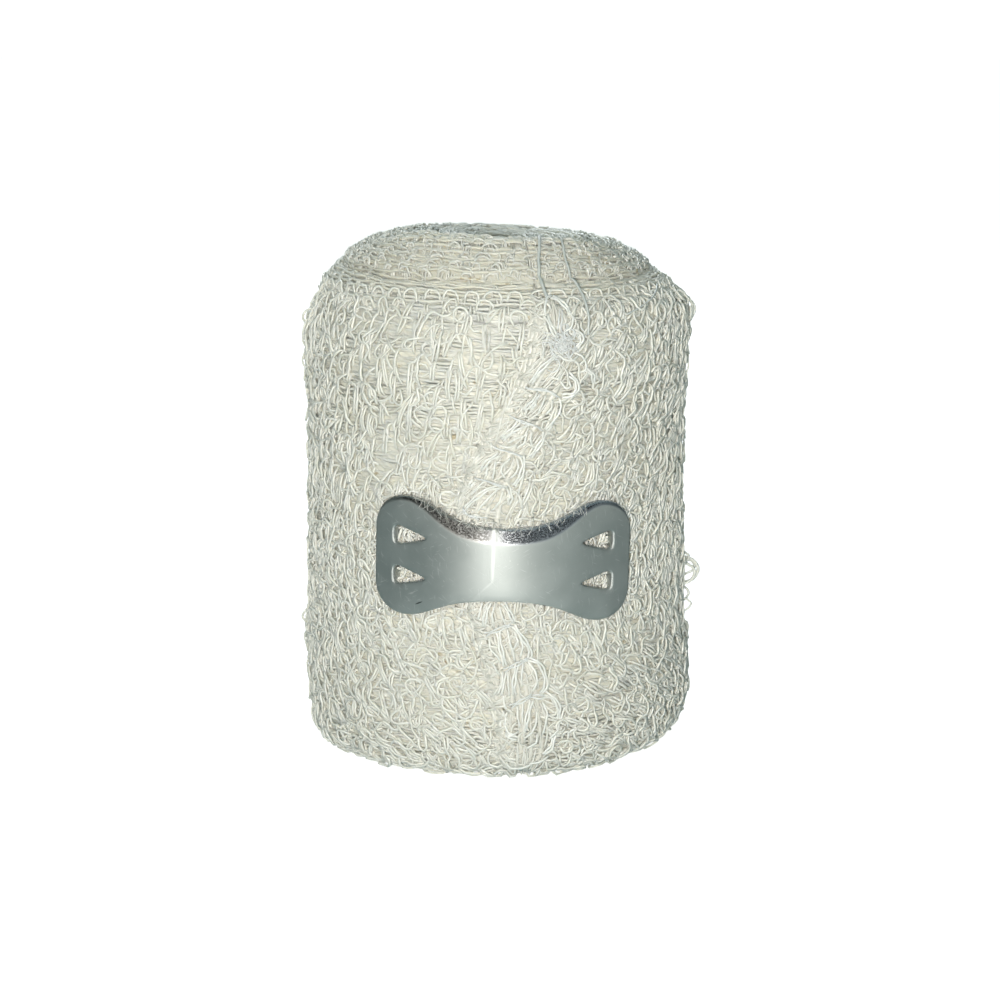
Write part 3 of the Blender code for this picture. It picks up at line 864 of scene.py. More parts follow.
# %% Ground rows
def ground_rows():
    rng = np.random.default_rng(3)
    phase = rng.uniform(0, FULL_TURN, 2)
    count = int(DOME_ROW + (ROW_TOP - DOME_START) / (ROW_PITCH + DOME_WIDENING))
    lower, upper = Yarns(), Yarns()
    for number in range(count):
        at = row_place(number)
        bricks = max(int(round(FULL_TURN * float(radius_at(at)) / PINCH_PITCH)), 6)
        turned = np.linspace(ROW_GAP, FULL_TURN - ROW_GAP, bricks * 4 + 1)
        bearing = turned + end_bearing(np.full_like(turned, at))
        place = turned / FULL_TURN * bricks + 0.5 * (number % 2) + 0.08 * np.sin(turned * 23 + number)
        swell = np.abs(np.sin(math.pi * place)) ** 0.45
        swell = swell * (0.88 + 0.22 * np.sin(place * 2.1 + number))
        dome = float(blend_step(at, 69, 73))
        for side in (-1, 1):
            up = at + row_wave(number, bearing, phase) + side * (0.17 + 0.16 * swell)
            up = up + uneven(rng, len(turned), 0.09)
            above = -0.52 + 0.18 * dome + (0.04 + 0.20 * dome) * swell
            above = above + uneven(rng, len(turned), 0.03)
            radius = 0.38 - 0.12 * dome + (0.04 + 0.08 * dome) * swell
            radius = radius + uneven(rng, len(turned), 0.03)
            # Painted shade: the rows take the darker end of the cotton's colours, darkest on the dome, so the
            # gaps under the pairs and strokes read darker.
            tint = 0.12 - 0.1 * dome + (0.6 - 0.3 * dome) * rng.random(1)
            target = lower if number < count // 2 else upper
            lay(target, bearing, up, above, radius, tint, sides=3, squash=0.30 + 0.35 * dome)
    return lower, upper


for part, rows in zip(("lower", "upper"), ground_rows()):
    rows.piece(f"ground_rows_{part}", GROUND_COTTON)


# %% [markdown]
# ## Pairs that cross the rows
# Near both woven edges the thin pairs go over one row and under the next, so that only
# short ticks of them show between the bricks. Just under the crease each pair bends over in
# an arch, and on the dome only short soft strokes of them are left. Each is one yarn with
# its two ends sunk into the cloth.

# %% Crossing pairs
def crossing_pairs(yarns):
    rng = np.random.default_rng(5)
    for low, high in ((float(up_at_height(66.0)), SELVAGE_UP - 0.3), (0.3, 3.4)):
        up = np.linspace(low, high, int((high - low) / ROW_PITCH * 3) + 1)
        middle_radius = float(radius_at((low + high) / 2))
        number = (up - FIRST_ROW) / ROW_PITCH
        on_dome = DOME_ROW + (number - DOME_ROW) * ROW_PITCH / (ROW_PITCH + DOME_WIDENING)
        number = np.where(number > DOME_ROW, on_dome, number)
        columns = int(FULL_TURN * 27.5 / (PINCH_PITCH / 2))
        for column in range(columns):
            start = (column + 0.5) / columns * FULL_TURN
            sway = 0.35 * np.sin(up * 0.5 + column * 2.4) + rng.normal(0, 0.3)
            above = -0.52 + 0.34 * np.cos(math.pi * (number + column))
            for side in (-0.2, 0.2):
                bearing = end_bearing(up) + (start + (sway + side) / middle_radius)
                lay(yarns, bearing, up, above, 0.2, rng.uniform(0.4, 0.9, 1), sides=3)


# %% Arches and dome strokes
ARCH = (  # sideways, up and above the cloth
    (-1.15, -0.75, -0.5),
    (-1.0, -0.1, 0.0),
    (-0.55, 0.4, 0.14),
    (0.1, 0.5, 0.18),
    (0.75, 0.35, 0.14),
    (1.1, -0.15, 0.0),
    (1.2, -0.8, -0.5),
)
ARCH_PITCH = 3.05
ARCH_RADIUS = 25.5  # of the roll, where the arches lie


def arches(yarns):
    """Just under the crease each pair bends over in an arch the width of one brick."""
    rng = np.random.default_rng(6)
    middle = float(up_at_height(69.3))
    count = int(FULL_TURN * ARCH_RADIUS / ARCH_PITCH)
    for row, lift in ((0, 0.0), (1, -1.45)):
        for number in range(count):
            if row == 1 and rng.random() < 0.45:
                continue
            shape = np.array(ARCH) * (rng.uniform(0.85, 1.15), rng.uniform(0.8, 1.25), 1)
            shape = shape + rng.normal(0, 0.07, shape.shape)
            start = (number + 0.5 * row + rng.uniform(-0.12, 0.12)) / count * FULL_TURN
            up = middle + lift + shape[:, 1] - (1 - math.cos(start))
            bearing = end_bearing(up) + start + shape[:, 0] / ARCH_RADIUS
            lay(yarns, bearing, up, shape[:, 2], 0.2, rng.uniform(0.5, 1.0, 1))


# %% Dome strokes
def dome_stroke(yarns, rng, start, at, around):
    """One short soft stroke, bent down at one end or both."""
    shape = np.array(ARCH) * (rng.uniform(0.45, 1.0), rng.uniform(0.2, 0.75), 0.9)
    if rng.random() < 0.4:
        shape = shape[2:] if rng.random() < 0.5 else shape[:-2]
    shape = shape + rng.normal(0, 0.07, shape.shape)
    up = at + shape[:, 1]
    bearing = end_bearing(up) + start + (shape[:, 0] + rng.normal(0, 0.25)) / around
    above = shape[:, 2] - 0.02
    lay(yarns, bearing, up, above, rng.uniform(0.15, 0.21), rng.uniform(0.5, 1.0, 1), sides=3)


def dome_strokes(yarns):
    """Above the crease each row is a course of strokes, with a few ties across it."""
    rng = np.random.default_rng(8)
    first = float(up_at_height(71.8))
    pitch = ROW_PITCH + 0.05
    for row in range(int((SELVAGE_UP - first) / pitch)):
        at = first + 0.4 + row * pitch
        around = float(radius_at(at))
        count = int(FULL_TURN * around / ARCH_PITCH)
        for number in range(count):
            start = (number + 0.5 * (row % 2) + rng.uniform(-0.2, 0.2)) / count * FULL_TURN
            for lower in (0.1, -0.42):
                if rng.random() >= 0.22:
                    dome_stroke(yarns, rng, start, at + lower, around)
        for _ in range(count // 3):
            bearing = np.full(4, rng.uniform(0, FULL_TURN)) + rng.normal(0, 0.12, 4) / around
            up = at + np.array([-0.75, -0.3, 0.3, 0.75]) + rng.normal(0, 0.1)
            above = np.array([-0.3, 0.1, 0.1, -0.3])
            lay(yarns, bearing, up, above, 0.17, rng.uniform(0.5, 1.0, 1), sides=3)


# %% Edges of the inner turns
def inner_edges(yarns):
    """On the dome the edges of the inner turns are woven too: short strokes along the winding."""
    rng = np.random.default_rng(9)
    many, n = 620, 6
    place = np.linspace(-0.5, 0.5, n)[None]
    up = SELVAGE_UP + 0.3 + (CLOTH_TOP - 3.5 - SELVAGE_UP) * rng.random(many) ** 1.3
    middle = rng.uniform(0, FULL_TURN, many)
    span = rng.uniform(1.8, 4.2, (many, 1)) / np.maximum(radius_at(up), 3)[:, None]
    bearing = middle[:, None] + place * span
    up = up[:, None] + rng.normal(0, 0.12, (many, n))
    above = 0.12 + rng.uniform(-0.2, 0.15, (many, 1)) - 0.45 * (2 * place) ** 4
    radius = rng.uniform(0.16, 0.24, (many, 1))
    tint = rng.uniform(0.3, 1.0, many)
    yarns.add(cloth_point(bearing, up, above), cloth_outwards(bearing, up), radius, tint, sides=3)


# %% Pairs
pairs = Yarns()
for draw in (crossing_pairs, arches, dome_strokes, inner_edges):
    draw(pairs)
pairs.piece("crossing_pairs", LOOP_COTTON)


# %% [markdown]
# ## Where the sewing runs
# The strip's cut end is sewn over. The stitches and the lines that show best between them
# are placed one by one, because the photograph shows each of them, and they are needed
# before the pile, which leaves them free.

# %% Stitches
STITCHES = (  # x and height of each stitch's left and right end, in millimetres from the axis
    ((6.7, 68.9), (7.3, 68.7)),
    ((7.1, 62.9), (10.4, 61.8)),
    ((2.6, 56.9), (8.1, 55.4)),
    ((1.0, 53.1), (5.6, 51.2)),
    ((-1.2, 48.8), (3.3, 47.2)),
    ((-3.9, 44.4), (1.1, 43.0)),
    ((-5.5, 39.8), (0.4, 39.2)),
    ((-5.6, 34.7), (-0.3, 34.3)),
    ((-4.5, 29.5), (0.4, 29.3)),
    ((-3.1, 25.9), (1.1, 26.1)),
    ((-2.0, 22.2), (1.7, 23.4)),
    ((0.6, 16.8), (3.9, 18.4)),
    ((1.4, 11.7), (5.6, 13.1)),
    ((1.0, 7.1), (6.7, 4.6)),
    ((1.4, 1.8), (5.0, 1.2)),
)
SLANTING = 7  # above this stitch the gathered yarns slant, below it they stand upright

# %% Lines of the seam
SEAM_LINES = (  # t thread, d doubled thread, y yarn, w doubled yarn; then x and height of points
    ("y", ((7.1, 68.9), (6.3, 68.3), (5.9, 67.2), (6.2, 66.3))),
    ("w", ((6.2, 66.4), (6.8, 64.8), (7.8, 63.3))),
    ("w", ((7.1, 68.7), (8.0, 67.9), (8.8, 67.1), (9.5, 66.3))),
    ("y", ((9.2, 66.8), (9.7, 65.8), (9.5, 64.7), (8.6, 64.1))),
    ("t", ((8.1, 67.1), (7.8, 65.8), (7.8, 64.5))),
    ("t", ((8.4, 67.0), (8.2, 65.7), (8.1, 64.4))),
    ("w", ((10.0, 64.3), (10.8, 63.8), (11.0, 62.9), (10.4, 62.0))),
    ("y", ((7.9, 61.3), (8.6, 60.6), (9.7, 60.4), (10.7, 61.0))),
    ("y", ((9.9, 61.5), (11.0, 61.0), (11.6, 60.1), (11.6, 59.0), (10.6, 58.5))),
    ("w", ((11.6, 59.2), (12.6, 58.3), (13.0, 57.0))),
    ("w", ((8.1, 61.5), (6.6, 60.5), (5.2, 59.3), (4.2, 57.5))),
    ("t", ((2.6, 57.2), (4.2, 56.8), (5.9, 56.8), (7.1, 56.2), (8.1, 55.4))),
    ("t", ((3.0, 56.9), (4.5, 56.7), (6.3, 56.5), (7.8, 55.5))),
    ("w", ((9.3, 58.6), (10.3, 57.7), (10.5, 56.5), (9.8, 55.7), (8.5, 55.6))),
    ("y", ((6.9, 58.3), (7.7, 58.0), (8.4, 58.8))),
    ("y", ((8.2, 57.7), (8.8, 56.7), (9.5, 56.9), (9.3, 57.9))),
    ("y", ((2.2, 56.7), (1.4, 55.0), (1.0, 53.9), (1.0, 53.1))),
    ("y", ((8.1, 55.4), (8.3, 54.3), (8.0, 53.2), (7.2, 52.1), (6.1, 50.6))),
    ("t", ((1.0, 53.2), (2.1, 52.7), (3.3, 52.3), (4.5, 51.8), (5.6, 51.2))),
    ("t", ((1.4, 53.0), (3.0, 52.1), (4.7, 51.7), (5.9, 50.7))),
    ("w", ((5.3, 56.1), (4.3, 54.9), (3.2, 53.7))),
    ("y", ((7.1, 55.1), (6.9, 54.1), (6.3, 53.1))),
    ("y", ((6.2, 55.7), (5.6, 54.6), (5.2, 53.5))),
    ("y", ((4.1, 53.8), (4.7, 54.6), (4.9, 55.3))),
    ("w", ((0.6, 53.0), (-0.1, 52.3), (-0.6, 51.5))),
    ("w", ((2.7, 52.3), (1.4, 51.0), (0.1, 49.9))),
    ("y", ((4.3, 51.8), (2.7, 51.4), (1.4, 50.6), (0.4, 49.5))),
    ("y", ((-1.4, 51.1), (-1.4, 49.8), (-1.1, 48.5))),
    ("w", ((6.3, 50.7), (5.8, 49.5), (4.8, 48.1), (4.3, 47.1))),
    ("y", ((-0.0, 48.9), (1.1, 48.7), (2.3, 48.9))),
    ("y", ((3.7, 50.6), (3.3, 49.3), (2.3, 48.5))),
    ("y", ((4.3, 50.8), (4.1, 49.6), (4.6, 48.2))),
    ("y", ((3.2, 50.2), (1.9, 49.8), (1.1, 49.2))),
    ("t", ((-1.2, 48.9), (-0.0, 48.4), (1.4, 48.1), (3.3, 47.2))),
    ("t", ((-0.8, 48.5), (0.6, 48.3), (1.9, 47.8), (3.6, 47.0))),
    ("w", ((-1.9, 48.3), (-3.2, 46.8), (-4.0, 45.2))),
    ("w", ((-0.1, 47.7), (-1.7, 46.8), (-2.6, 45.4))),
    ("w", ((3.0, 47.4), (3.2, 46.1), (2.8, 44.6), (1.9, 43.1))),
    ("y", ((-0.6, 46.7), (-0.8, 45.5), (-1.0, 44.2))),
    ("y", ((1.4, 47.1), (0.4, 46.3), (0.1, 45.5), (0.7, 44.3))),
    ("y", ((2.3, 47.1), (2.5, 46.0), (2.1, 45.0), (1.4, 44.3))),
    ("y", ((-1.7, 46.2), (-1.8, 45.0), (-2.1, 44.3))),
    ("t", ((-3.6, 44.3), (-2.2, 44.2), (-0.7, 43.7), (1.1, 43.0))),
    ("t", ((-3.2, 44.2), (-1.8, 44.1), (-0.4, 43.4), (0.8, 42.8))),
    ("w", ((-3.5, 44.0), (-4.6, 42.7), (-5.4, 41.2), (-5.8, 39.8))),
    ("w", ((0.1, 43.2), (-1.7, 42.9), (-3.3, 41.6), (-4.8, 40.0))),
    ("y", ((-0.3, 42.8), (-1.5, 41.7), (-2.5, 40.5), (-3.2, 39.4))),
    ("w", ((1.2, 42.9), (1.5, 41.7), (1.2, 40.5))),
    ("y", ((0.4, 42.4), (-0.0, 41.2), (-1.0, 39.8))),
    ("y", ((-2.2, 43.9), (-3.0, 43.1), (-3.9, 41.9))),
    ("t", ((-5.5, 39.7), (-4.4, 39.2), (-3.0, 39.0), (-1.7, 38.7))),
    ("t", ((-5.1, 40.0), (-4.2, 39.1), (-2.8, 38.5))),
    ("y", ((-3.5, 26.5), (-3.6, 24.0), (-3.2, 22.3))),
    ("y", ((-2.4, 26.7), (-2.9, 24.6), (-3.1, 22.4))),
    ("w", ((-1.5, 26.7), (-2.0, 24.8), (-2.2, 23.1))),
    ("y", ((-0.6, 26.7), (-1.1, 25.0), (-0.8, 23.1))),
    ("w", ((0.4, 26.7), (1.3, 25.3), (2.0, 23.7))),
    ("y", ((-0.1, 26.1), (0.3, 24.7), (0.8, 23.4))),
    ("d", ((-2.2, 21.9), (-1.1, 22.5), (0.1, 23.0), (1.7, 23.5))),
    ("t", ((0.4, 23.3), (1.1, 23.5), (1.7, 23.2))),
    ("w", ((1.8, 23.4), (2.8, 22.0), (3.8, 20.5), (4.2, 19.4), (4.1, 18.4))),
    ("y", ((-2.2, 22.0), (-2.7, 20.4), (-3.0, 19.3))),
    ("y", ((-1.5, 21.5), (-1.3, 20.0), (-0.3, 18.9), (0.1, 17.9))),
    ("w", ((-0.3, 22.6), (-0.0, 20.5), (0.4, 18.9), (0.7, 17.5))),
    ("y", ((1.0, 22.8), (1.3, 21.1), (1.8, 19.6), (2.0, 18.2))),
    ("y", ((2.0, 22.4), (2.4, 21.2), (1.8, 19.6))),
    ("y", ((2.7, 21.8), (3.1, 20.3), (2.8, 18.7))),
    ("d", ((0.6, 16.8), (1.5, 17.5), (2.5, 17.9), (3.9, 18.4))),
    ("t", ((2.8, 18.2), (3.4, 18.4), (4.2, 18.4))),
    ("w", ((3.9, 18.4), (5.2, 18.0), (5.9, 16.9), (6.3, 15.4), (6.3, 14.2), (5.6, 13.3))),
    ("w", ((0.6, 16.6), (0.4, 15.0), (-0.0, 13.7), (-1.1, 11.5))),
    ("y", ((-1.1, 18.2), (-0.6, 17.2), (-0.0, 16.2))),
    ("w", ((2.4, 17.8), (2.0, 16.2), (1.8, 14.6), (2.0, 13.3))),
    ("y", ((3.2, 17.9), (2.9, 16.2), (3.0, 14.5))),
    ("y", ((3.9, 18.0), (4.9, 16.6), (5.1, 15.0), (4.5, 13.7))),
    ("y", ((1.1, 16.6), (1.1, 14.9), (1.3, 13.2))),
    ("d", ((1.4, 11.6), (2.4, 12.3), (3.4, 12.8), (4.4, 13.2))),
    ("t", ((4.5, 13.2), (5.3, 13.3), (6.3, 13.0))),
    ("t", ((4.2, 13.0), (5.4, 12.7), (6.5, 12.9))),
    ("w", ((6.3, 13.3), (7.6, 12.5), (8.2, 11.1), (8.2, 9.2))),
    ("y", ((0.4, 13.3), (0.6, 12.0), (1.1, 11.0))),
    ("w", ((0.8, 10.9), (0.3, 9.7), (0.3, 8.5), (1.0, 7.5), (2.4, 7.0))),
    ("y", ((0.8, 10.2), (0.7, 9.0), (1.1, 8.0), (1.8, 7.7), (2.5, 8.0))),
    ("w", ((4.4, 12.5), (3.8, 10.8), (3.5, 9.0), (3.7, 8.0))),
    ("y", ((5.1, 10.8), (4.9, 9.3), (4.4, 8.0), (3.4, 7.0))),
    ("y", ((5.2, 7.6), (4.9, 6.5), (3.7, 5.6))),
    ("y", ((2.4, 11.7), (2.4, 10.2), (2.8, 8.6))),
    ("y", ((3.2, 12.3), (3.0, 10.7), (3.1, 9.0))),
    ("y", ((5.9, 12.1), (6.5, 10.6), (6.2, 8.9), (5.9, 7.4))),
    ("w", ((7.6, 7.2), (7.1, 5.6), (6.0, 4.4))),
    ("y", ((6.8, 4.1), (5.4, 3.6), (4.1, 3.2))),
    ("y", ((-0.6, 4.6), (0.3, 3.5), (1.4, 3.0), (2.8, 2.9), (4.4, 3.0))),
    ("y", ((8.4, 9.0), (7.9, 7.8), (6.9, 6.7))),
)


# %% Where the seam lies
def in_seam(bearing, up):
    """True where the sewn end covers the cloth."""
    height = height_at(up)
    ends = np.array(STITCHES)[::-1]
    left = np.interp(height, ends[:, 0, 1], ends[:, 0, 0])
    right = np.interp(height, ends[:, 1, 1], ends[:, 1, 0])
    x = 28.2 * np.sin(bearing)
    return (np.cos(bearing) > 0) & (x > left - 0.2) & (x < right + 0.7) & (height < 68.5)


print("stitches:", len(STITCHES), "lines between them:", len(SEAM_LINES))

# %% [markdown]
# ## The pile
# Away from the woven edges the thin pairs float over several rows at a time, and because
# their yarn is twisted too hard they snarl: some stand as straight double strokes, some
# bend into hooks, and many curl into small rings. A hair system could scatter curls, but
# not with the lean and the mix that each part of the roll has. So a yarn is drawn the way
# it behaves, by its bending: no bend gives a straight float, a short strong bend a hook,
# and an even bend a ring. The two ends of each dive under the rows.

# %% Lean and mix of the pile
PILE_LOW = 0.5
PILE_HIGH = float(up_at_height(67.8))
CLIP_BEARING = math.radians(1.1)
CLIP_HEIGHT = 32.2


def lean_at(bearing, up):
    """Which way the floats lean, in degrees from upright, positive to the right."""
    degrees = np.degrees(signed_bearing(bearing))
    right = blend_step(degrees - np.degrees(end_bearing(up)), -2, 12)
    left_lean = 7 - 42 * (1 - blend_step(up, 16, 34)) - 25 * (1 - blend_step(up, 4, 12))
    right_lean = 32 * blend_step(up, 26, 44) - 62 * (1 - blend_step(up, 12, 30))
    front = left_lean * (1 - right) + right_lean * right
    back = 18 * np.sin(np.radians(2 * degrees) + up / 19)
    back = back + 9 * np.sin(np.radians(5 * degrees) - up / 9)
    share = blend_step(np.abs(degrees), 95, 150)
    return front * (1 - share) + back * share


def smooth_left(bearing, up):
    """1 where the photo shows mostly straight pairs: high on the left of the free end."""
    degrees = np.degrees(signed_bearing(bearing))
    left = 1 - blend_step(degrees - np.degrees(end_bearing(up)), -4, 3)
    return left * blend_step(degrees, -75, -40) * blend_step(up, 38, 50)


def pile_top(bearing):
    """The pile ends lower towards the back, as the rolled edge does."""
    return PILE_HIGH - 3.2 * (1 - np.cos(bearing)) * 0.5


def under_clip(bearing, up):
    """1 where the clip presses the pile down, 0 well away from it."""
    across = np.abs(signed_bearing(bearing) - CLIP_BEARING) * 28.4
    half = 5.4 + 3.6 * blend_step(across, 5, 13)
    outside = np.maximum(across - 19.6, np.abs(height_at(up) - CLIP_HEIGHT) - half)
    return 1 - blend_step(outside, 0.2, 1.6)


print("the pile reaches", round(PILE_HIGH, 1), "mm up the cloth at the front")


# %% Drawing by bend
def draw_yarns(bearing, up, heading, bend, length, n):
    """Lines on the cloth from a middle, a heading and bends along them, as bearing and up."""
    step = (length / (n - 1))[:, None]
    turn = np.cumsum(bend * step, axis=1)
    angle = heading[:, None] + turn - turn[:, [n // 2]]
    sideways = np.cumsum(np.sin(angle) * step, axis=1)
    upwards = np.cumsum(np.cos(angle) * step, axis=1)
    sideways = sideways - sideways.mean(axis=1, keepdims=True)
    ups = up[:, None] + (upwards - upwards.mean(axis=1, keepdims=True))
    return bearing[:, None] + sideways / np.maximum(radius_at(ups), 6), ups


def lay_yarns(yarns, rng, bearing, up, heading, bend, length, layer, radius, tint, deep=-0.75):
    """Lays drawn yarns on the cloth: the ends under the rows, the middle at its layer."""
    many, n = bend.shape
    bearings, ups = draw_yarns(bearing, up, heading, bend, length, n)
    place = np.linspace(0, 1, n)[None]
    arch = np.sin(math.pi * place) ** 0.45
    ripple = 0.07 * np.sin(place * rng.uniform(8, 16, (many, 1)) + rng.uniform(0, 6, (many, 1)))
    above = deep + (layer[:, None] - deep) * arch + ripple
    ups = ups + rng.normal(0, 0.035, ups.shape)
    bearings = bearings + rng.normal(0, 0.035, ups.shape) / SIDE_RADIUS
    pressed = under_clip(bearings, ups)
    above = np.where(pressed > 0, np.minimum(above, 0.12 + 1.2 * (1 - pressed)), above)
    ups = np.where(ups < 0.25, 0.25 + 0.15 * np.sin(5 * ups), ups)
    taper = np.clip(np.minimum(place, 1 - place) * 9 + 0.45, 0, 1)
    taper = taper * (1 + rng.normal(0, 0.07, ups.shape))
    lines = cloth_point(bearings, ups, above)
    yarns.add(lines, cloth_outwards(bearings, ups), radius[:, None] * taper, tint)


# %% Pile yarns by quarter
QUARTERS = ("front", "right", "back", "left")
KEPT_SHARE = 1.0  # of the cells; less would thin the curls out


def quarter_of(bearing):
    return np.floor(np.mod(bearing + FULL_TURN / 8, FULL_TURN) / (FULL_TURN / 4)).astype(int) % 4


def scatter(rng, cell, low, high_of):
    """Uneven but even-handed places over the side: one in each cell, moved at random."""
    columns = int(FULL_TURN * SIDE_RADIUS / cell)
    rows = int((PILE_HIGH - low) / cell) + 1
    i, j = np.meshgrid(np.arange(columns), np.arange(rows), indexing="ij")
    bearing = (i + 0.5 * (j % 2) + rng.uniform(-0.42, 0.42, i.shape)) / columns * FULL_TURN
    up = low + (j + rng.uniform(-0.42, 0.42, i.shape)) * cell
    bearing, up = bearing.ravel(), up.ravel()
    chosen = (up < high_of(bearing)) & (up > low) & (rng.random(len(up)) < KEPT_SHARE)
    return bearing[chosen], up[chosen]


def float_places(rng, gap):
    """Bearing, middle and length of each float, in loose columns."""
    columns = int(FULL_TURN * SIDE_RADIUS / gap)
    bearing, up, length = [], [], []
    for column in range(columns):
        at = PILE_LOW + rng.uniform(0, 3)
        where = (column + rng.uniform(-0.3, 0.3)) / columns * FULL_TURN
        while at < pile_top(where) + 0.5:
            span = rng.uniform(3.0, 6.6)
            bearing.append(where + rng.normal(0, 0.012))
            up.append(at + span / 2)
            length.append(span)
            at += span + rng.uniform(0.2, 1.4)
    bearing, up, length = map(np.array, (bearing, up, length))
    keep = (up + length / 2) < pile_top(bearing) + 1.4
    keep &= (rng.random(len(up)) < 0.82) & ~in_seam(bearing, up)
    return bearing[keep], up[keep], length[keep]


# %% Floats
def floats(piles):
    """Straight double strokes."""
    rng = np.random.default_rng(21)
    n = 6
    for gap, deep in ((2.45, -0.75), (2.9, -0.85)):
        bearing, up, length = float_places(rng, gap)
        many = len(up)
        lean = np.radians(lean_at(bearing, up) + rng.normal(0, 9, many))
        layer = rng.uniform(-0.18, 0.26, many)
        tint = rng.uniform(0.5, 1.0, many)
        curve = rng.normal(0, 0.05, (many, 1))
        single = rng.random(many) < 0.2
        for side in (-1, 1):
            chosen = ~single | (side == 1)
            off = side * rng.uniform(0.19, 0.27, many)
            b = bearing + off * np.cos(lean) / SIDE_RADIUS
            v = up - off * np.sin(lean)
            for quarter, pile in enumerate(piles):
                q = chosen & (quarter_of(bearing) == quarter)
                m = q.sum()
                bend = np.repeat(curve[q], n, axis=1) + rng.normal(0, 0.05, (m, n))
                span = length[q] * rng.uniform(0.9, 1.1, m)
                radius = np.full(m, 0.215)
                lay_yarns(pile, rng, b[q], v[q], lean[q], bend, span, layer[q], radius, tint[q], deep)


# %% Curls
CURLS = (  # name, its share of the curls from and to, and how many points draw it
    ("hook", 0.0, 0.34, 10),
    ("ring", 0.34, 0.43, 12),
    ("squiggle", 0.43, 0.66, 10),
    ("stroke", 0.66, 1.0, 7),
)


def curl_shape(rng, name, lean, n):
    """Random headings, bends and lengths for curls of one kind."""
    m = len(lean)
    place = np.linspace(0, 1, n)[None]
    sign = rng.choice([-1.0, 1.0], (m, 1))
    if name == "hook":
        length = rng.uniform(4.2, 6.8, m)
        width = rng.uniform(0.16, 0.3, (m, 1))
        peak = rng.uniform(0.38, 0.62, (m, 1))
        shape = np.exp(-(((place - peak) / width) ** 2))
        bend = sign * shape * rng.uniform(2.6, 3.6, (m, 1)) / (length[:, None] * width * 1.77)
        heading = lean + rng.normal(0, 0.5, m) + math.pi / 2
    elif name == "ring":
        length = rng.uniform(6.0, 8.0, m)
        bend = sign * rng.uniform(5.6, 7.4, (m, 1)) / length[:, None]
        bend = bend * (0.8 + 0.4 * np.sin(math.pi * place))
        heading = rng.uniform(0, FULL_TURN, m)
    elif name == "squiggle":
        length = rng.uniform(4.0, 7.5, m)
        waves = rng.uniform(1.0, 1.9, (m, 1))
        size = rng.uniform(0.7, 1.5, (m, 1))
        bend = sign * size * np.sin(FULL_TURN * waves * place + rng.uniform(0, 6, (m, 1)))
        heading = lean + rng.normal(0, 0.7, m)
    else:
        length = rng.uniform(3.0, 6.0, m)
        bend = rng.normal(0, 0.18, (m, 1)) + 0 * place
        heading = lean + rng.normal(0, 0.45, m)
    return heading, bend + rng.normal(0, 0.12, bend.shape), length


# %% Scattered curls
def curls(piles):
    """Hooks, rings, squiggles and single strokes."""
    rng = np.random.default_rng(22)
    for cell, deep, high in ((1.95, -0.6, 0.62), (2.05, -0.75, 0.16)):
        bearing, up = scatter(rng, cell, PILE_LOW, pile_top)
        keep = (rng.random(len(up)) > 0.55 * smooth_left(bearing, up)) & ~in_seam(bearing, up)
        bearing, up = bearing[keep], up[keep]
        kind = rng.random(len(up))
        lean = np.radians(lean_at(bearing, up))
        for quarter, pile in enumerate(piles):
            for name, low, top, n in CURLS:
                q = (quarter_of(bearing) == quarter) & (kind >= low) & (kind < top)
                m = int(q.sum())
                heading, bend, length = curl_shape(rng, name, lean[q], n)
                layer = rng.uniform(-0.15, high, m)
                radius = rng.uniform(0.18, 0.235, m)
                tint = rng.uniform(0.45, 1.0, m)
                lay_yarns(pile, rng, bearing[q], up[q], heading, bend, length, layer, radius, tint, deep)


# %% Pile
piles = [Yarns() for _ in QUARTERS]
floats(piles)
curls(piles)
for name, pile in zip(QUARTERS, piles):
    pile.piece(f"pile_{name}", LOOP_COTTON)

# %% [markdown]
# ## The sewn end
# The strip's cut end would fray, so it is sewn over: a fine doubled thread crosses from the
# cut edge to a knot on its right about every 5 mm, pinches the cloth there, and loops back
# in a scallop. Between two stitches the gathered yarns run along the edge and fan out. The
# cloth is made first, from soft cords that come down over the step of the last turn, and
# then the gathered yarns, the petals and the thread are laid on it.

# %% Laying along listed points
LAID_OVER_DOME = 74.4  # points above this height run on over the dome, four times as far


def through(points, n):
    """A soft line of n points through a few given ones."""
    points = np.array(points, float)
    along = lengths_along(points[:, :2])
    line = smoothed(at_lengths(points, along, np.linspace(0, along[-1], 8 * n)), int(2.2 * n))
    return line[np.linspace(0, len(line) - 1, n).round().astype(int)]


def lay_by_hand(yarns, points, n, radius, tint, sides=4, doubled=0.0):
    """A yarn through places given as x, height and distance above the cloth."""
    x, height, above = through(points, n).T
    up = up_at_height(height) + np.maximum(height - LAID_OVER_DOME, 0) * 4
    bearing = np.arcsin(np.clip(x / (radius_at(up) + 0.4), -0.95, 0.95))
    pressed = under_clip(bearing, up)
    above = np.where(pressed > 0, np.minimum(above, 0.16 + 1.5 * (1 - pressed)), above)
    strand = cloth_point(bearing, up, above)
    out = cloth_outwards(bearing, up)
    side = unit(np.cross(np.gradient(strand, axis=0), out))
    wave = 0.8 + 0.3 * np.cos(np.linspace(0, FULL_TURN * n / 9, n)[:, None])
    for share in (-0.5, 0.5) if doubled else (0.0,):
        line = strand + side * doubled * share * wave
        yarns.add(line[None], out[None], radius, np.array([tint]), sides)


def mix(first, second, share):
    return tuple(a + (b - a) * share for a, b in zip(first, second))


def lay_seam_line(yarns, rng, doubled, places, radius, high):
    """One of the lines that show in the seam: its ends go in, its middle stands out."""
    count = len(places)
    points = []
    for index, (x, height) in enumerate(places):
        inwards = index in (0, count - 1)
        above = rng.uniform(-0.05, 0.1) if inwards else high + rng.uniform(-0.08, 0.1)
        points.append((x, height, above))
    tint = rng.uniform(0.6, 1.0)
    lay_by_hand(yarns, points, 5 + 3 * count, radius, tint, doubled=0.45 if doubled else 0.0)


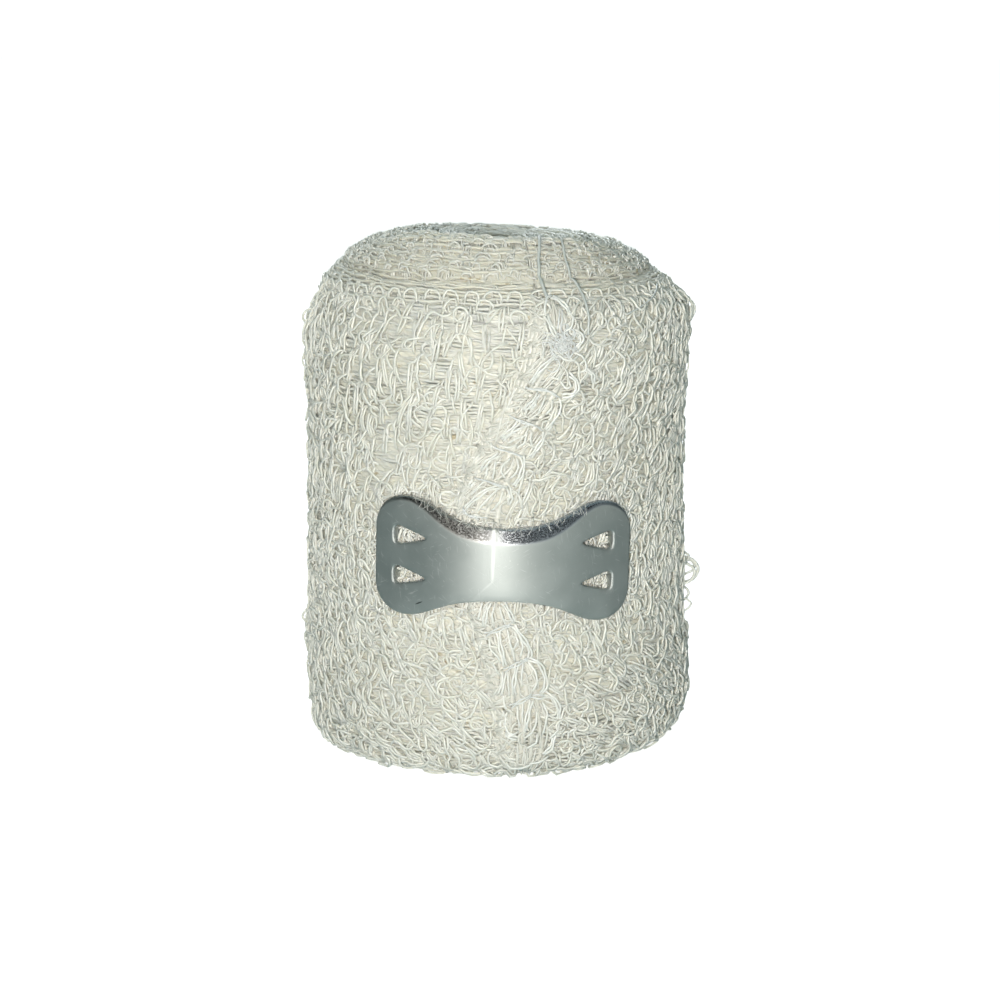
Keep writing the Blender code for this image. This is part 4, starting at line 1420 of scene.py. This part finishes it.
def over_step(offset, up, above):
    """Points near the cut edge that come down gently from the last turn to the one under it."""
    ends = end_bearing(up)
    bearing = ends + offset / SIDE_RADIUS
    here = cloth_point(bearing, up, above)
    on_top = cloth_point(ends + 0.5 / SIDE_RADIUS, up, above)
    share = np.where(offset < 0.5, blend_step(offset, -1.7, -0.4), 0.0)
    radii = [np.hypot(place[..., 0] - AXIS_X, place[..., 1] - AXIS_Y) for place in (here, on_top)]
    return round_axis(radii[0] * (1 - share) + radii[1] * share, bearing, here[..., 2])


# %% Cloth of the sewn end
CORDS_ON_TOP = (  # right of the cut edge, radius and distance above the cloth
    (-0.8, 0.40, -0.66),
    (-0.35, 0.42, -0.68),
    (0.12, 0.45, -1.15),
    (0.15, 0.42, -0.80),
    (0.8, 0.36, -0.66),
)
CORDS_OVER_STEP = (
    (-0.12, 0.42, -0.85),
    (-0.6, 0.42, -0.85),
    (-1.1, 0.44, -0.8),
    (-1.6, 0.44, -0.8),
    (-0.1, 0.45, -1.4),
)


def edge_cords(yarns):
    """Soft cords of cloth along the cut edge, and four more from stitch to stitch."""
    up = np.linspace(1.4, SELVAGE_UP - 0.6, 150)
    near_top = blend_step(up, 67, 71)
    for offset, size, above in CORDS_ON_TOP:
        bearing = end_bearing(up) + (offset + 0.1 * np.sin(up * 1.9 + 3 * offset)) / SIDE_RADIUS
        sunk = above - 0.2 * near_top - 0.35 * blend_step(-up, -5, -1.4)
        lay(yarns, bearing, up, sunk, size * (1 - 0.45 * near_top), 0.5, sides=6)
    out = cloth_outwards(end_bearing(up), up)[None]
    for shift, size, above in CORDS_OVER_STEP:
        line = over_step(shift + 0.08 * np.sin(up * 2.3), up, above - 0.2 * near_top)
        yarns.add(line[None], out, size, 0.5, sides=6)
    for share in (0.1, 0.36, 0.62, 0.88):
        points = [(*mix(left, right, share), -0.86) for left, right in STITCHES]
        lay_by_hand(yarns, points, 80, 0.6, 0.5, sides=6)


# %% Gathered yarns
def gathered_yarns(yarns, rng, upper, lower, slanting):
    """The yarns between two stitches, which run along the edge and fan out."""
    strands = 10
    for strand in range(strands):
        share = min(max((strand + 0.5) / strands + rng.normal(0, 0.07), 0), 1)
        if slanting:
            begin, end = mix(*upper, 0.15 + 0.8 * share), mix(*lower, -0.05 + 0.75 * share)
            swell = (share - 0.45) * 1.8
        else:
            begin, end = (mix(*stitch, 0.04 + 0.92 * share) for stitch in (upper, lower))
            swell = (share - 0.45) * 1.6
        swell += rng.normal(0, 0.32)
        lift = rng.uniform(-0.2, 0.1)
        first, last = rng.uniform(0.0, 0.3), rng.uniform(0.7, 1.0)
        points = []
        for part, above in ((0, -0.2), (0.3, lift), (0.65, lift + 0.05), (1, -0.2)):
            place = first + (last - first) * part
            x, height = mix(begin, end, place)
            bulge = 4 * place * (1 - place) * swell
            points.append((x + bulge, height - 0.2 * bulge, above))
        lay_by_hand(yarns, points, 8, rng.uniform(0.15, 0.20), rng.uniform(0.3, 0.9))


# %% Curls and strokes at the cut
def gap_curls(yarns, rng, upper, lower):
    """A few loose curls between two stitches."""
    many, n = 4, 10
    x, height = mix(mix(*upper, 0.5), mix(*lower, 0.6), 0.5)
    up = up_at_height(height + rng.normal(0, 1.0, many))
    bearing = np.arcsin((x + rng.normal(0.3, 1.3, many)) / SIDE_RADIUS)
    length = rng.uniform(2.6, 4.8, many)
    bend = rng.choice([-1.0, 1.0], (many, 1)) * rng.uniform(0.3, 1.3, (many, 1))
    bend = bend + rng.normal(0, 0.2, (many, n))
    heading = rng.uniform(0, FULL_TURN, many)
    layer = rng.uniform(0.0, 0.3, many)
    radius = rng.uniform(0.15, 0.19, many)
    tint = rng.uniform(0.5, 1.0, many)
    lay_yarns(yarns, rng, bearing, up, heading, bend, length, layer, radius, tint, -0.3)


def edge_strokes(yarns, rng):
    """Short yarns that cross the cut edge and hide its step."""
    sunk = np.array([-0.55, -0.15, -0.02, -0.02, -0.05, -0.1, -0.5])
    for middle in np.linspace(2, float(up_at_height(69)), 150):
        offset = np.linspace(-rng.uniform(0.9, 1.9), rng.uniform(0.5, 1.4), len(sunk))
        slant = rng.normal(0.1, 0.7)
        up = middle + rng.uniform(-0.6, 0.6) + slant * offset + rng.normal(0, 0.08, len(sunk))
        line = over_step(offset, up, sunk + rng.uniform(-0.15, 0.12))
        out = cloth_outwards(end_bearing(up), up)
        yarns.add(line[None], out[None], rng.uniform(0.15, 0.2), rng.uniform(0.4, 1.0, 1))


# %% All of the sewn end
def end_cloth():
    rng = np.random.default_rng(41)
    yarns = Yarns()
    edge_cords(yarns)
    for number, (upper, lower) in enumerate(zip(STITCHES, STITCHES[1:])):
        gathered_yarns(yarns, rng, upper, lower, number < SLANTING)
        gap_curls(yarns, rng, upper, lower)
    edge_strokes(yarns, rng)
    return yarns


def seam_lines(seed, kinds, doubled_kind, radii, high):
    """The seam's lines of two kinds, a single and a doubled one, each with its radius."""
    rng = np.random.default_rng(seed)
    yarns = Yarns()
    for kind, places in SEAM_LINES:
        if kind in kinds:
            doubled = kind == doubled_kind
            lay_seam_line(yarns, rng, doubled, places, radii[doubled], high)
    return yarns


# %% Cottons of the sewn end
SEAM_COTTON = cotton(
    "seam_cotton",
    srgb(247, 247, 240),
    srgb(228, 228, 220),
    twist=0.03,
    shine=0.34,
    glow=0.4,
    brown_fleck_share=0.0,
)
END_COTTON = cotton(
    "end_cotton", srgb(228, 227, 220), srgb(205, 203, 193), shine=0.36, glow=0.1, brown_fleck_share=0.3
)
end_cloth().piece("sewn_end", END_COTTON)
seam_lines(45, "yw", "w", (0.18, 0.2), 0.62).piece("seam_petals", SEAM_COTTON)


# %% [markdown]
# ## Thread
# The thread is much finer and smoother than the cotton, and whiter. It runs in short lines
# across the seam, ends in a snarl where the sewing was begun, and leaves three loose ends
# that lie over the dome's edge.

# %% Overlock thread
THREAD = cotton(
    "sewing_thread",
    srgb(240, 242, 240),
    srgb(224, 227, 225),
    twist_pitch=0.5,
    twist=0.02,
    shine=0.4,
    glow=0.4,
    brown_fleck_share=0.0,
)
TAIL = cotton(
    "thread_tail",
    srgb(204, 208, 205),
    srgb(180, 186, 184),
    twist_pitch=0.4,
    twist=0.01,
    shine=0.35,
    glow=0.3,
    brown_fleck_share=0.0,
)
KNOT_AT = (8.6, 62.5)  # x and height
KNOT_SPREAD = (1.15, 0.95)


def knot(yarns):
    """The snarl of thread ends where the sewing was begun."""
    rng = np.random.default_rng(43)
    many, n = 44, 12
    x, height = (rng.normal(at, spread, many) for at, spread in zip(KNOT_AT, KNOT_SPREAD))
    bearing = np.arcsin(x / 27.9)
    length = rng.uniform(2.6, 5.0, many)
    bend = rng.choice([-1, 1], (many, 1)) * rng.uniform(0.6, 2.2, (many, 1)) + np.zeros((1, n))
    heading = rng.uniform(0, FULL_TURN, many)
    layer = rng.uniform(0.1, 0.65, many)
    radius = rng.uniform(0.07, 0.12, many)
    tint = rng.uniform(0.1, 0.9, many)
    lay_yarns(yarns, rng, bearing, up_at_height(height), heading, bend, length, layer, radius, tint, 0.0)


thread = seam_lines(42, "td", "d", (0.12, 0.12), 0.66)
knot(thread)
thread.piece("overlock_thread", THREAD)

# %% Loose ends
TAILS = (  # radius, then x, height and distance above the cloth of its points
    (0.24, (
        (5.4, 75.2, 0.1), (5.5, 74.5, 0.35), (5.4, 73.0, 0.35), (5.5, 71.7, 0.8),
        (5.7, 70.8, 0.7), (6.4, 68.6, 0.2),
    )),
    (0.18, (
        (8.0, 75.0, 0.1), (8.6, 74.3, 0.35), (9.5, 72.4, 0.5), (10.3, 71.0, 0.8),
        (11.2, 69.2, 0.4), (11.9, 66.0, 0.6), (12.0, 63.6, 0.3),
    )),
    (0.12, (
        (23.0, 69.2, 0.2), (22.4, 68.4, 0.4), (21.2, 67.3, 0.5), (19.2, 66.4, 0.5),
        (17.4, 65.8, 0.2),
    )),
)
tails = Yarns()
for radius, points in TAILS:
    lay_by_hand(tails, points, 30, radius, 0.6, sides=6)
tails.piece("thread_tails", TAIL)


# %% [markdown]
# ## Stray loops
# A few loops stand right out of the pile. They matter more than their number, because they
# break the outline: a smooth outline would make the roll look like a turned solid. Each is
# one arched yarn that stands off the side at its own bearing.

# %% Stray loops
STRAY_LOOPS = (  # bearing in degrees, height, half width, reach and radius
    (88, 24.4, 2.0, 2.7, 0.26),
    (86, 24.1, 1.6, 2.1, 0.24),
    (89, 24.8, 1.2, 2.2, 0.22),
    (87, 26.4, 1.0, 1.3, 0.2),
    (90, 20.5, 1.1, 1.2, 0.2),
    (84, 19.5, 0.9, 1.4, 0.16),
    (-90, 17.0, 1.2, 1.0, 0.2),
    (-88, 63.0, 1.2, 1.0, 0.2),
    (86, 64.0, 1.6, 0.9, 0.22),
    (150, 40.0, 1.3, 1.4, 0.2),
    (-130, 55.0, 1.2, 1.3, 0.2),
)


def stray_loops():
    rng = np.random.default_rng(44)
    yarns = Yarns()
    n = 18
    place = np.linspace(-0.1, 1.1, n) * math.pi
    for bearing_deg, height, size, reach, radius in STRAY_LOOPS:
        up = up_at_height(height) + size * np.cos(place) + rng.normal(0, 0.06, n)
        sway = (0.5 * np.sin(place * 1.3) + rng.normal(0, 0.05, n)) / SIDE_RADIUS
        bearing = math.radians(bearing_deg) + sway
        line = cloth_point(bearing, up, -0.3 + (reach + 0.3) * np.sin(place))
        sideways = away_from_axis(bearing + FULL_TURN / 4)
        yarns.add(line[None], sideways[None], radius, 0.9, sides=5)
    return yarns


stray_loops().piece("stray_loops", LOOP_COTTON)


# %% [markdown]
# ## The clip
# The fastener is stamped from thin sheet: a dog-bone with four triangular slots, whose
# metal is bent down at the wide end as teeth. The sheet arches over the roll, and its upper
# edge is rolled back, which is why it reflects the dark part of the room as a band; a dark
# reflection painted into the metal's colour there deepens the band. It starts as a flat
# face with the right outline, gets its thickness and a rounded rim by extruding and
# insetting, is cut for its slots, and is bent round the roll last.

# %% Flat clip
CLIP_TILT = math.radians(-1.9)
CLIP_HALF_LENGTH = 19.5
CLIP_END_HALF = 8.6
CLIP_WAIST_HALF = 5.1
CLIP_LOBE_AT = 14.2
CLIP_SIDE_HALF = 4.0
CLIP_SHEET = 0.6
CLIP_INNER_RADIUS = 28.3
CLIP_ARCH = 1.9
RIM_STEPS = ((0.03, 0.08), (0.07, 0.08), (0.14, 0.06))  # inwards and up, to round the rim


def cubic(start, start_handle, end_handle, end, steps):
    t = np.linspace(0, 1, steps, endpoint=False)[:, None]
    corners = [np.array(c, float) for c in (start, start_handle, end_handle, end)]
    weights = ((1 - t) ** 3, 3 * (1 - t) ** 2 * t, 3 * (1 - t) * t * t, t ** 3)
    return sum(w * c for w, c in zip(weights, corners))


WAIST = (0, CLIP_WAIST_HALF)
LOBE = (CLIP_LOBE_AT, CLIP_END_HALF)
END = (CLIP_HALF_LENGTH, CLIP_SIDE_HALF)
WAIST_HANDLES = ((CLIP_LOBE_AT * 0.6, CLIP_WAIST_HALF), (CLIP_LOBE_AT * 0.72, CLIP_END_HALF - 0.1))
LOBE_HANDLES = ((CLIP_LOBE_AT + 3, CLIP_END_HALF), (CLIP_HALF_LENGTH, CLIP_SIDE_HALF + 2.8))
QUARTER = np.concatenate([cubic(WAIST, *WAIST_HANDLES, LOBE, 30), cubic(LOBE, *LOBE_HANDLES, END, 18), [END]])


def clip_half_height(x):
    return np.interp(abs(x), QUARTER[:, 0], QUARTER[:, 1])


def flat_clip():
    right = [tuple(p) for p in QUARTER]
    outline = (
        right
        + [(x, -y) for x, y in reversed(right)]
        + [(-x, -y) for x, y in right[1:]]
        + [(-x, y) for x, y in reversed(right[1:])]
    )
    mesh = bmesh.new()
    face = mesh.faces.new([mesh.verts.new((x, y, 0)) for x, y in reversed(outline)])
    bmesh.ops.recalc_face_normals(mesh, faces=[face])
    grown = bmesh.ops.extrude_face_region(mesh, geom=[face])["geom"]
    top = next(g for g in grown if isinstance(g, bmesh.types.BMFace))
    for vertex in top.verts:
        vertex.co.z = CLIP_SHEET - sum(rise for _, rise in RIM_STEPS)
    for inset, rise in RIM_STEPS:
        bmesh.ops.inset_region(mesh, faces=[top], thickness=inset, use_even_offset=True)
        for vertex in top.verts:
            vertex.co.z += rise
    bmesh.ops.remove_doubles(mesh, verts=mesh.verts, dist=0.001)
    bmesh.ops.recalc_face_normals(mesh, faces=mesh.faces)
    turn_outwards(mesh)
    return mesh


print("the clip is", 2 * CLIP_HALF_LENGTH, "mm long and", 2 * CLIP_END_HALF, "mm high at its lobes")

# %% Bending it round the roll
FLANGE_WIDTH = 2.0  # of the rolled edge, at the waist
FLANGE_LEAST = 0.6
FLANGE_SLOPE = 0.46
FLANGE_HINGE = 0.3
RIDGE_AT = -1.5
RIDGE_HEIGHT = 0.022
RIDGE_HALF_WIDTH = 0.25


def flange_width(x):
    wide = 1 - float(blend_step(abs(x), 5.0, 15.5))
    return FLANGE_LEAST + (FLANGE_WIDTH - FLANGE_LEAST) * wide


def past_hinge(x, y):
    """How far into the rolled edge a place of the flat clip is. On the sheet it is below 0."""
    return flange_width(x) - (clip_half_height(x) - y)


def ridge_at(y):
    """Where the small crease in the sheet runs: upright, then off to the lower left."""
    return RIDGE_AT - 0.95 * max(-2.2 - y, 0.0)


def bend_clip(point):
    """Moves a point of the flat clip, in millimetres, to its place round the roll."""
    x, y, z = point
    across = x * math.cos(CLIP_TILT) - y * math.sin(CLIP_TILT)
    upright = x * math.sin(CLIP_TILT) + y * math.cos(CLIP_TILT)
    bearing = CLIP_BEARING + across / (CLIP_INNER_RADIUS + CLIP_SHEET)
    arch = CLIP_ARCH * math.cos(0.5 * math.pi * min(abs(x) / CLIP_HALF_LENGTH, 1.0)) ** 2
    middle_share = 1 - float(blend_step(abs(x), 11.0, 17.0))
    past = past_hinge(x, y)
    lower = min(max(1 - (clip_half_height(x) + y) / 2.2, 0.0), 1.2)
    rolled = FLANGE_SLOPE * 0.5 * (past + math.hypot(past, FLANGE_HINGE))
    rolled += (0.28 * lower ** 2 + 0.007 * y ** 2) * middle_share
    rolled -= RIDGE_HEIGHT * math.exp(-abs(x - ridge_at(y)) / RIDGE_HALF_WIDTH)
    radius = CLIP_INNER_RADIUS - 0.07 * x / CLIP_HALF_LENGTH + arch + z - rolled
    return Vector(round_axis(radius, bearing, CLIP_HEIGHT + upright))


print("the clip's middle is at", [round(v, 1) for v in bend_clip((0, 0, CLIP_SHEET))], "mm")

# %% [markdown]
# ## Slots and teeth
# The stamp cuts three sides of each triangle and bends its metal down at the wide end. The
# rim of such a slot is soft, so the punch flares at its top, and a boolean difference cuts
# it out of the flat sheet. The tooth is a small grid, bent and thickened.

# %% Slots
SLOT_INNER = 10.7
SLOT_OUTER = 16.2
SLOT_SPACING = 2.9
SLOT_HALF_WIDTH = 1.5
SLOT_CUTS = (2.0, 1.25, 1.25)  # how far each corner is cut back before it is rounded
SLOT_PLACES = [(way, middle) for way in (-1, 1) for middle in (-SLOT_SPACING, SLOT_SPACING)]
PUNCH_RINGS = (  # height over the sheet's top, and flare
    (-1.0 - CLIP_SHEET, 0.0),
    (-0.34, 0.0),
    (-0.20, 0.05),
    (-0.09, 0.14),
    (-0.03, 0.24),
    (0.005, 0.36),
    (0.5, 0.9),
)


# %% Slot cutters
def rounded(corners, cuts, steps=5):
    """A polygon whose corners are cut back by given lengths and rounded."""
    points = []
    for index, (corner, cut) in enumerate(zip(corners, cuts)):
        here = Vector(corner)
        before = (Vector(corners[index - 1]) - here).normalized() * cut
        after = (Vector(corners[(index + 1) % len(corners)]) - here).normalized() * cut
        for step in range(steps + 1):
            t = step / steps
            points.append(here + before * (1 - t) ** 2 + after * t ** 2)
    return points


def slot_cutter(way, middle):
    """A triangular punch that flares at the top, so that the slot gets a soft rim."""
    corners = (
        (SLOT_INNER - 0.5, 0.0),
        (SLOT_OUTER, -SLOT_HALF_WIDTH),
        (SLOT_OUTER, SLOT_HALF_WIDTH),
    )
    outline = rounded(corners, SLOT_CUTS)
    centre = Vector(((SLOT_INNER + SLOT_OUTER) / 2 + 0.8, 0))
    mesh = bmesh.new()
    rings = []
    for height, flare in PUNCH_RINGS:
        ring = []
        for point in outline:
            x, y = point + (point - centre).normalized() * flare
            ring.append(mesh.verts.new((way * x, middle + y, CLIP_SHEET + height)))
        rings.append(ring)
    for lower, upper in zip(rings, rings[1:]):
        for corner in range(len(outline)):
            after = (corner + 1) % len(outline)
            mesh.faces.new((lower[corner], lower[after], upper[after], upper[corner]))
    mesh.faces.new(rings[0])
    mesh.faces.new(rings[-1])
    bmesh.ops.recalc_face_normals(mesh, faces=mesh.faces)
    turn_outwards(mesh)
    return mesh


# %% Punching
def scratch_object(name, mesh):
    data = bpy.data.meshes.new(name)
    mesh.to_mesh(data)
    mesh.free()
    item = bpy.data.objects.new(name, data)
    bpy.context.scene.collection.objects.link(item)
    return item


def punched_sheet():
    """The flat clip with its four slots cut, as an object."""
    plate = scratch_object("clip_stamped", flat_clip())
    cutters = [scratch_object("punch", slot_cutter(*place)) for place in SLOT_PLACES]
    for cutter in cutters:
        cut = plate.modifiers.new("punch", "BOOLEAN")
        cut.operation = "DIFFERENCE"
        cut.object = cutter
        cut.solver = "EXACT"
    bpy.context.view_layer.update()
    ready = plate.evaluated_get(bpy.context.evaluated_depsgraph_get())
    data = bpy.data.meshes.new_from_object(ready)
    plate.modifiers.clear()
    plate.data = data
    for cutter in cutters:
        bpy.data.objects.remove(cutter, do_unlink=True)
    return plate


# %% Tooth
TOOTH_BEND_RADIUS = 0.75
TOOTH_START = SLOT_OUTER + 0.66
TOOTH_FALL = 2.7
TOOTH_SHEET = 0.34
TOOTH_HALF_WIDTH = SLOT_HALF_WIDTH - 0.3


def add_tooth(mesh, way, middle):
    """A tongue of the sheet, bent down at the slot's wide end and pointing at the axis."""
    tooth = bmesh.new()
    bmesh.ops.create_grid(tooth, x_segments=12, y_segments=4, size=1.0)
    for vertex in tooth.verts:
        share = (vertex.co.x + 1) / 2
        angle = min(share / 0.5, 1.0) * math.pi / 2
        fall = max(share - 0.5, 0.0) / 0.5
        x = TOOTH_START - TOOTH_BEND_RADIUS * math.sin(angle) - 0.15 * fall
        y = middle + vertex.co.y * TOOTH_HALF_WIDTH * (1 - 0.8 * fall)
        z = CLIP_SHEET - 0.012 - TOOTH_BEND_RADIUS * (1 - math.cos(angle)) - TOOTH_FALL * fall
        vertex.co = (way * x, y, z)
    tooth.normal_update()
    if sum(face.normal.z for face in tooth.faces) < 0:
        bmesh.ops.reverse_faces(tooth, faces=tooth.faces)
    bmesh.ops.solidify(tooth, geom=tooth.faces[:], thickness=TOOTH_SHEET)
    bmesh.ops.recalc_face_normals(tooth, faces=tooth.faces)
    turn_outwards(tooth)
    print("tooth stands over the sheet by", round(max(v.co.z for v in tooth.verts) - CLIP_SHEET, 3))
    data = bpy.data.meshes.new("tooth")
    tooth.to_mesh(data)
    tooth.free()
    mesh.from_mesh(data)
    bpy.data.meshes.remove(data)


# %% [markdown]
# ## Satin metal
# The sheet is satin metal: a soft streak of light, a few fine scratches and dust. Its
# rolled edge was polished by the press, so it mirrors the room; its colour there also holds
# a painted reflection, brown-black on the left and blue-black on the right, with painted
# glints near the middle. A scratch is a noise squeezed along one direction, and the one
# short dark nick is an ellipse in object coordinates. Two attributes of the mesh say where
# the polished edge with its painted reflection is, and where the crease carries a painted
# highlight.

# %% Metal
NICK_AT = (-0.0107, 0.0261)  # x and height in metres
NICK_SLANT = (0.88, 0.47)
MARKS = ((0.5, 0.705), (-0.8, 0.71), (1.7, 0.70), (2.6, 0.715))  # turn, and how few there are


def fine_marks(finish):
    """Hair scratches in a few directions."""
    marks = 0.0
    for turn, low in MARKS:
        laid = finish.node("Mapping", Vector=finish.place(), Rotation=(0.0, turn, 0.0))
        drawn = finish.node("Mapping", Vector=laid, Scale=(420.0, 420.0, 5200.0))
        mark = finish.node("TexNoise", Vector=drawn, Scale=1.0, Detail=1.0)
        marks = mark.between(low, low + 0.05) + marks
    return marks


def nick(x, z):
    """1 inside one short slanting scratch."""
    aside, over = x - NICK_AT[0], z - NICK_AT[1]
    lengthways = (aside * NICK_SLANT[0] + over * NICK_SLANT[1]) * 1500.0
    sideways = (over * NICK_SLANT[0] - aside * NICK_SLANT[1]) * 8500.0
    return 1.0 - (lengthways * lengthways + sideways * sideways).between(0.3, 1.0)


# %% Satin metal
def satin_metal():
    finish = Finish("satin_metal", Metallic=1.0, Anisotropic=0.52, Anisotropic_Rotation=0.25)
    x, _, z = finish.place().axes()
    cloud = finish.noise(220.0, 3.0)
    grain = finish.noise(5200.0, 2.0)
    dust = finish.noise(2400.0, 1.0).between(0.74, 0.78)
    speckle = finish.noise(4600.0, 2.0, 0.6).between(0.44, 0.66)
    marks = fine_marks(finish)
    # This attribute makes the rolled edge smoother and also carries its painted reflection and painted
    # glints.
    polish_and_painted_reflection = finish.attribute("polish_and_painted_reflection")
    to_right = x.between(-0.003, 0.004)
    # Where the painted glints gather: near the middle and more to the right. to_right also turns the painted
    # reflection bluer.
    central = 1.0 - (x * x * 4.0e4).between(0.05, 1.6)
    painted_glints = polish_and_painted_reflection * speckle * (central * (to_right * 0.5 + 0.3) + 0.08)
    # Painted reflection of the room on the rolled edge: brown-black on the left, blue-black on the right.
    painted_reflection_colour = finish.colour_mix(to_right, (0.28, 0.25, 0.23, 1), (0.30, 0.34, 0.43, 1))
    colour = finish.colour_mix(cloud.between(0.3, 0.7), (0.50, 0.53, 0.52, 1), (0.56, 0.59, 0.58, 1))
    for share, layer in (
        (marks * 0.5, (0.80, 0.82, 0.82, 1)),
        (dust * 0.4, (0.75, 0.76, 0.74, 1)),
        (nick(x, z) * 0.8, (0.05, 0.055, 0.055, 1)),
        # painted reflection on the rolled edge
        (polish_and_painted_reflection * 0.6, painted_reflection_colour),
        # painted glints on the rolled edge
        (painted_glints, (0.90, 0.93, 0.97, 1)),
        # painted highlight along the crease
        (finish.attribute("painted_crease_highlight") * 0.8, (0.95, 0.97, 0.96, 1)),
    ):
        colour = finish.colour_mix(share, colour, layer)
    rough = cloud * 0.08 + grain * 0.05 + marks * 0.12 + 0.575 - polish_and_painted_reflection * 0.37 + polish_and_painted_reflection * speckle * 0.16
    height = grain * 0.3 + cloud * 0.6 - marks * 0.3
    return finish.feed(Base_Color=colour, Roughness=rough, Normal=finish.bump(height, 0.010))


# %% [markdown]
# ## The finished clip
# A flat face can't bend, so the punched sheet is sliced into narrow strips first: upright
# ones for the roll's curve, ones that follow the rolled edge, and a few close together at
# the crease. To slice along a curved edge the sheet is straightened, cut and put back.

# %% Stamped clip
EDGE_SLICES = (0.15, 0.4, 0.65, 0.82, 0.91, 0.96, 1.0, 1.04, 1.09, 1.18, 1.35)
CREASE_SLICES = (-1.2, -0.6, -0.3, -0.15, 0.0, 0.15, 0.3, 0.6, 1.2)


def slice_mesh(mesh, places, axis):
    """Cuts all faces along planes across one axis."""
    across = Vector((axis == 0, axis == 1, axis == 2))
    for place in places:
        everything = mesh.verts[:] + mesh.edges[:] + mesh.faces[:]
        bmesh.ops.bisect_plane(mesh, geom=everything, dist=0.003, plane_co=across * place, plane_no=across)


def slice_clip(mesh):
    slice_mesh(mesh, np.linspace(-19.1, 19.1, 62), 0)
    for vertex in mesh.verts:
        vertex.co.y = (clip_half_height(vertex.co.x) - vertex.co.y) / flange_width(vertex.co.x)
    slice_mesh(mesh, EDGE_SLICES, 1)
    for vertex in mesh.verts:
        vertex.co.y = clip_half_height(vertex.co.x) - vertex.co.y * flange_width(vertex.co.x)
    slice_mesh(mesh, np.linspace(-8.0, 6.4, 16), 1)
    for vertex in mesh.verts:
        vertex.co.x -= ridge_at(vertex.co.y)
    slice_mesh(mesh, CREASE_SLICES, 0)
    for vertex in mesh.verts:
        vertex.co.x += ridge_at(vertex.co.y)


def mark_and_bend(mesh):
    """Writes where the edge is polished and painted with a reflection, and where the crease is painted with a
    highlight, and bends it round the roll.
    """
    polish_and_painted_reflection = mesh.verts.layers.float.new("polish_and_painted_reflection")
    painted_crease_highlight = mesh.verts.layers.float.new("painted_crease_highlight")
    for vertex in mesh.verts:
        x, y, _ = vertex.co
        # Along the crease the edge gets no painted reflection and stays rough, so the lamp's streak runs on
        # through it.
        bar = math.exp(-(((x + 1.3) / 0.55) ** 2))
        vertex[polish_and_painted_reflection] = float(blend_step(past_hinge(x, y), -0.22, 0.3)) * (1 - 0.85 * bar)
        # A painted highlight along the crease, brighter towards the top.
        ridge = math.exp(-(((x - ridge_at(y)) / 0.17) ** 2))
        bright = 0.4 + 0.6 * float(blend_step(y, -2.5, 1.0))
        vertex[painted_crease_highlight] = ridge * float(blend_step(y, -5.2, -1.5)) * bright
        vertex.co = bend_clip(vertex.co) * MM


# %% Putting the clip together
def make_clip():
    plate = punched_sheet()
    data = plate.data
    mesh = bmesh.new()
    mesh.from_mesh(data)
    slice_clip(mesh)
    for place in SLOT_PLACES:
        add_tooth(mesh, *place)
    mark_and_bend(mesh)
    for face in mesh.faces:
        face.smooth = True
    mesh.to_mesh(data)
    mesh.free()
    data.set_sharp_from_angle(angle=math.radians(50))
    data.materials.clear()
    data.materials.append(satin_metal())
    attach(plate, "root")
    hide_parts("clip")
    data.calc_loop_triangles()
    print("clip_stamped:", len(data.loop_triangles), "triangles")


make_clip()


# %% [markdown]
# ## Lint
# Fine fibres from the pile cling to the clip's rolled edge, so they are laid over it with
# the same bend that shaped the sheet.

# %% Lint on the clip's edge
def lint():
    rng = np.random.default_rng(46)
    fibres = Yarns()
    for _ in range(56):
        start = rng.normal(0.0, 5.5) if rng.random() < 0.4 else rng.uniform(-13, 13)
        heading = math.pi / 2 + rng.normal(0, 0.8)
        length = rng.uniform(0.8, 2.4)
        curl = rng.normal(0, 0.6)
        line = []
        for share in np.linspace(-0.5, 0.5, 7):
            angle = heading + curl * share
            x = start + length * share * math.cos(angle)
            edge = clip_half_height(start) - rng.uniform(0.0, 0.04)
            y = edge + length * share * math.sin(angle)
            line.append(bend_clip(Vector((x, y, CLIP_SHEET + 0.05 + 0.22 * math.cos(math.pi * share)))))
        line = np.array(line)
        out = away_from_axis(np.arctan2(line[:, 0] - AXIS_X, AXIS_Y - line[:, 1]))
        radius = rng.uniform(0.025, 0.05)
        fibres.add(line[None], out[None], radius, rng.uniform(0.3, 1.0, 1), sides=3)
    return fibres


lint().piece("lint", SEAM_COTTON)
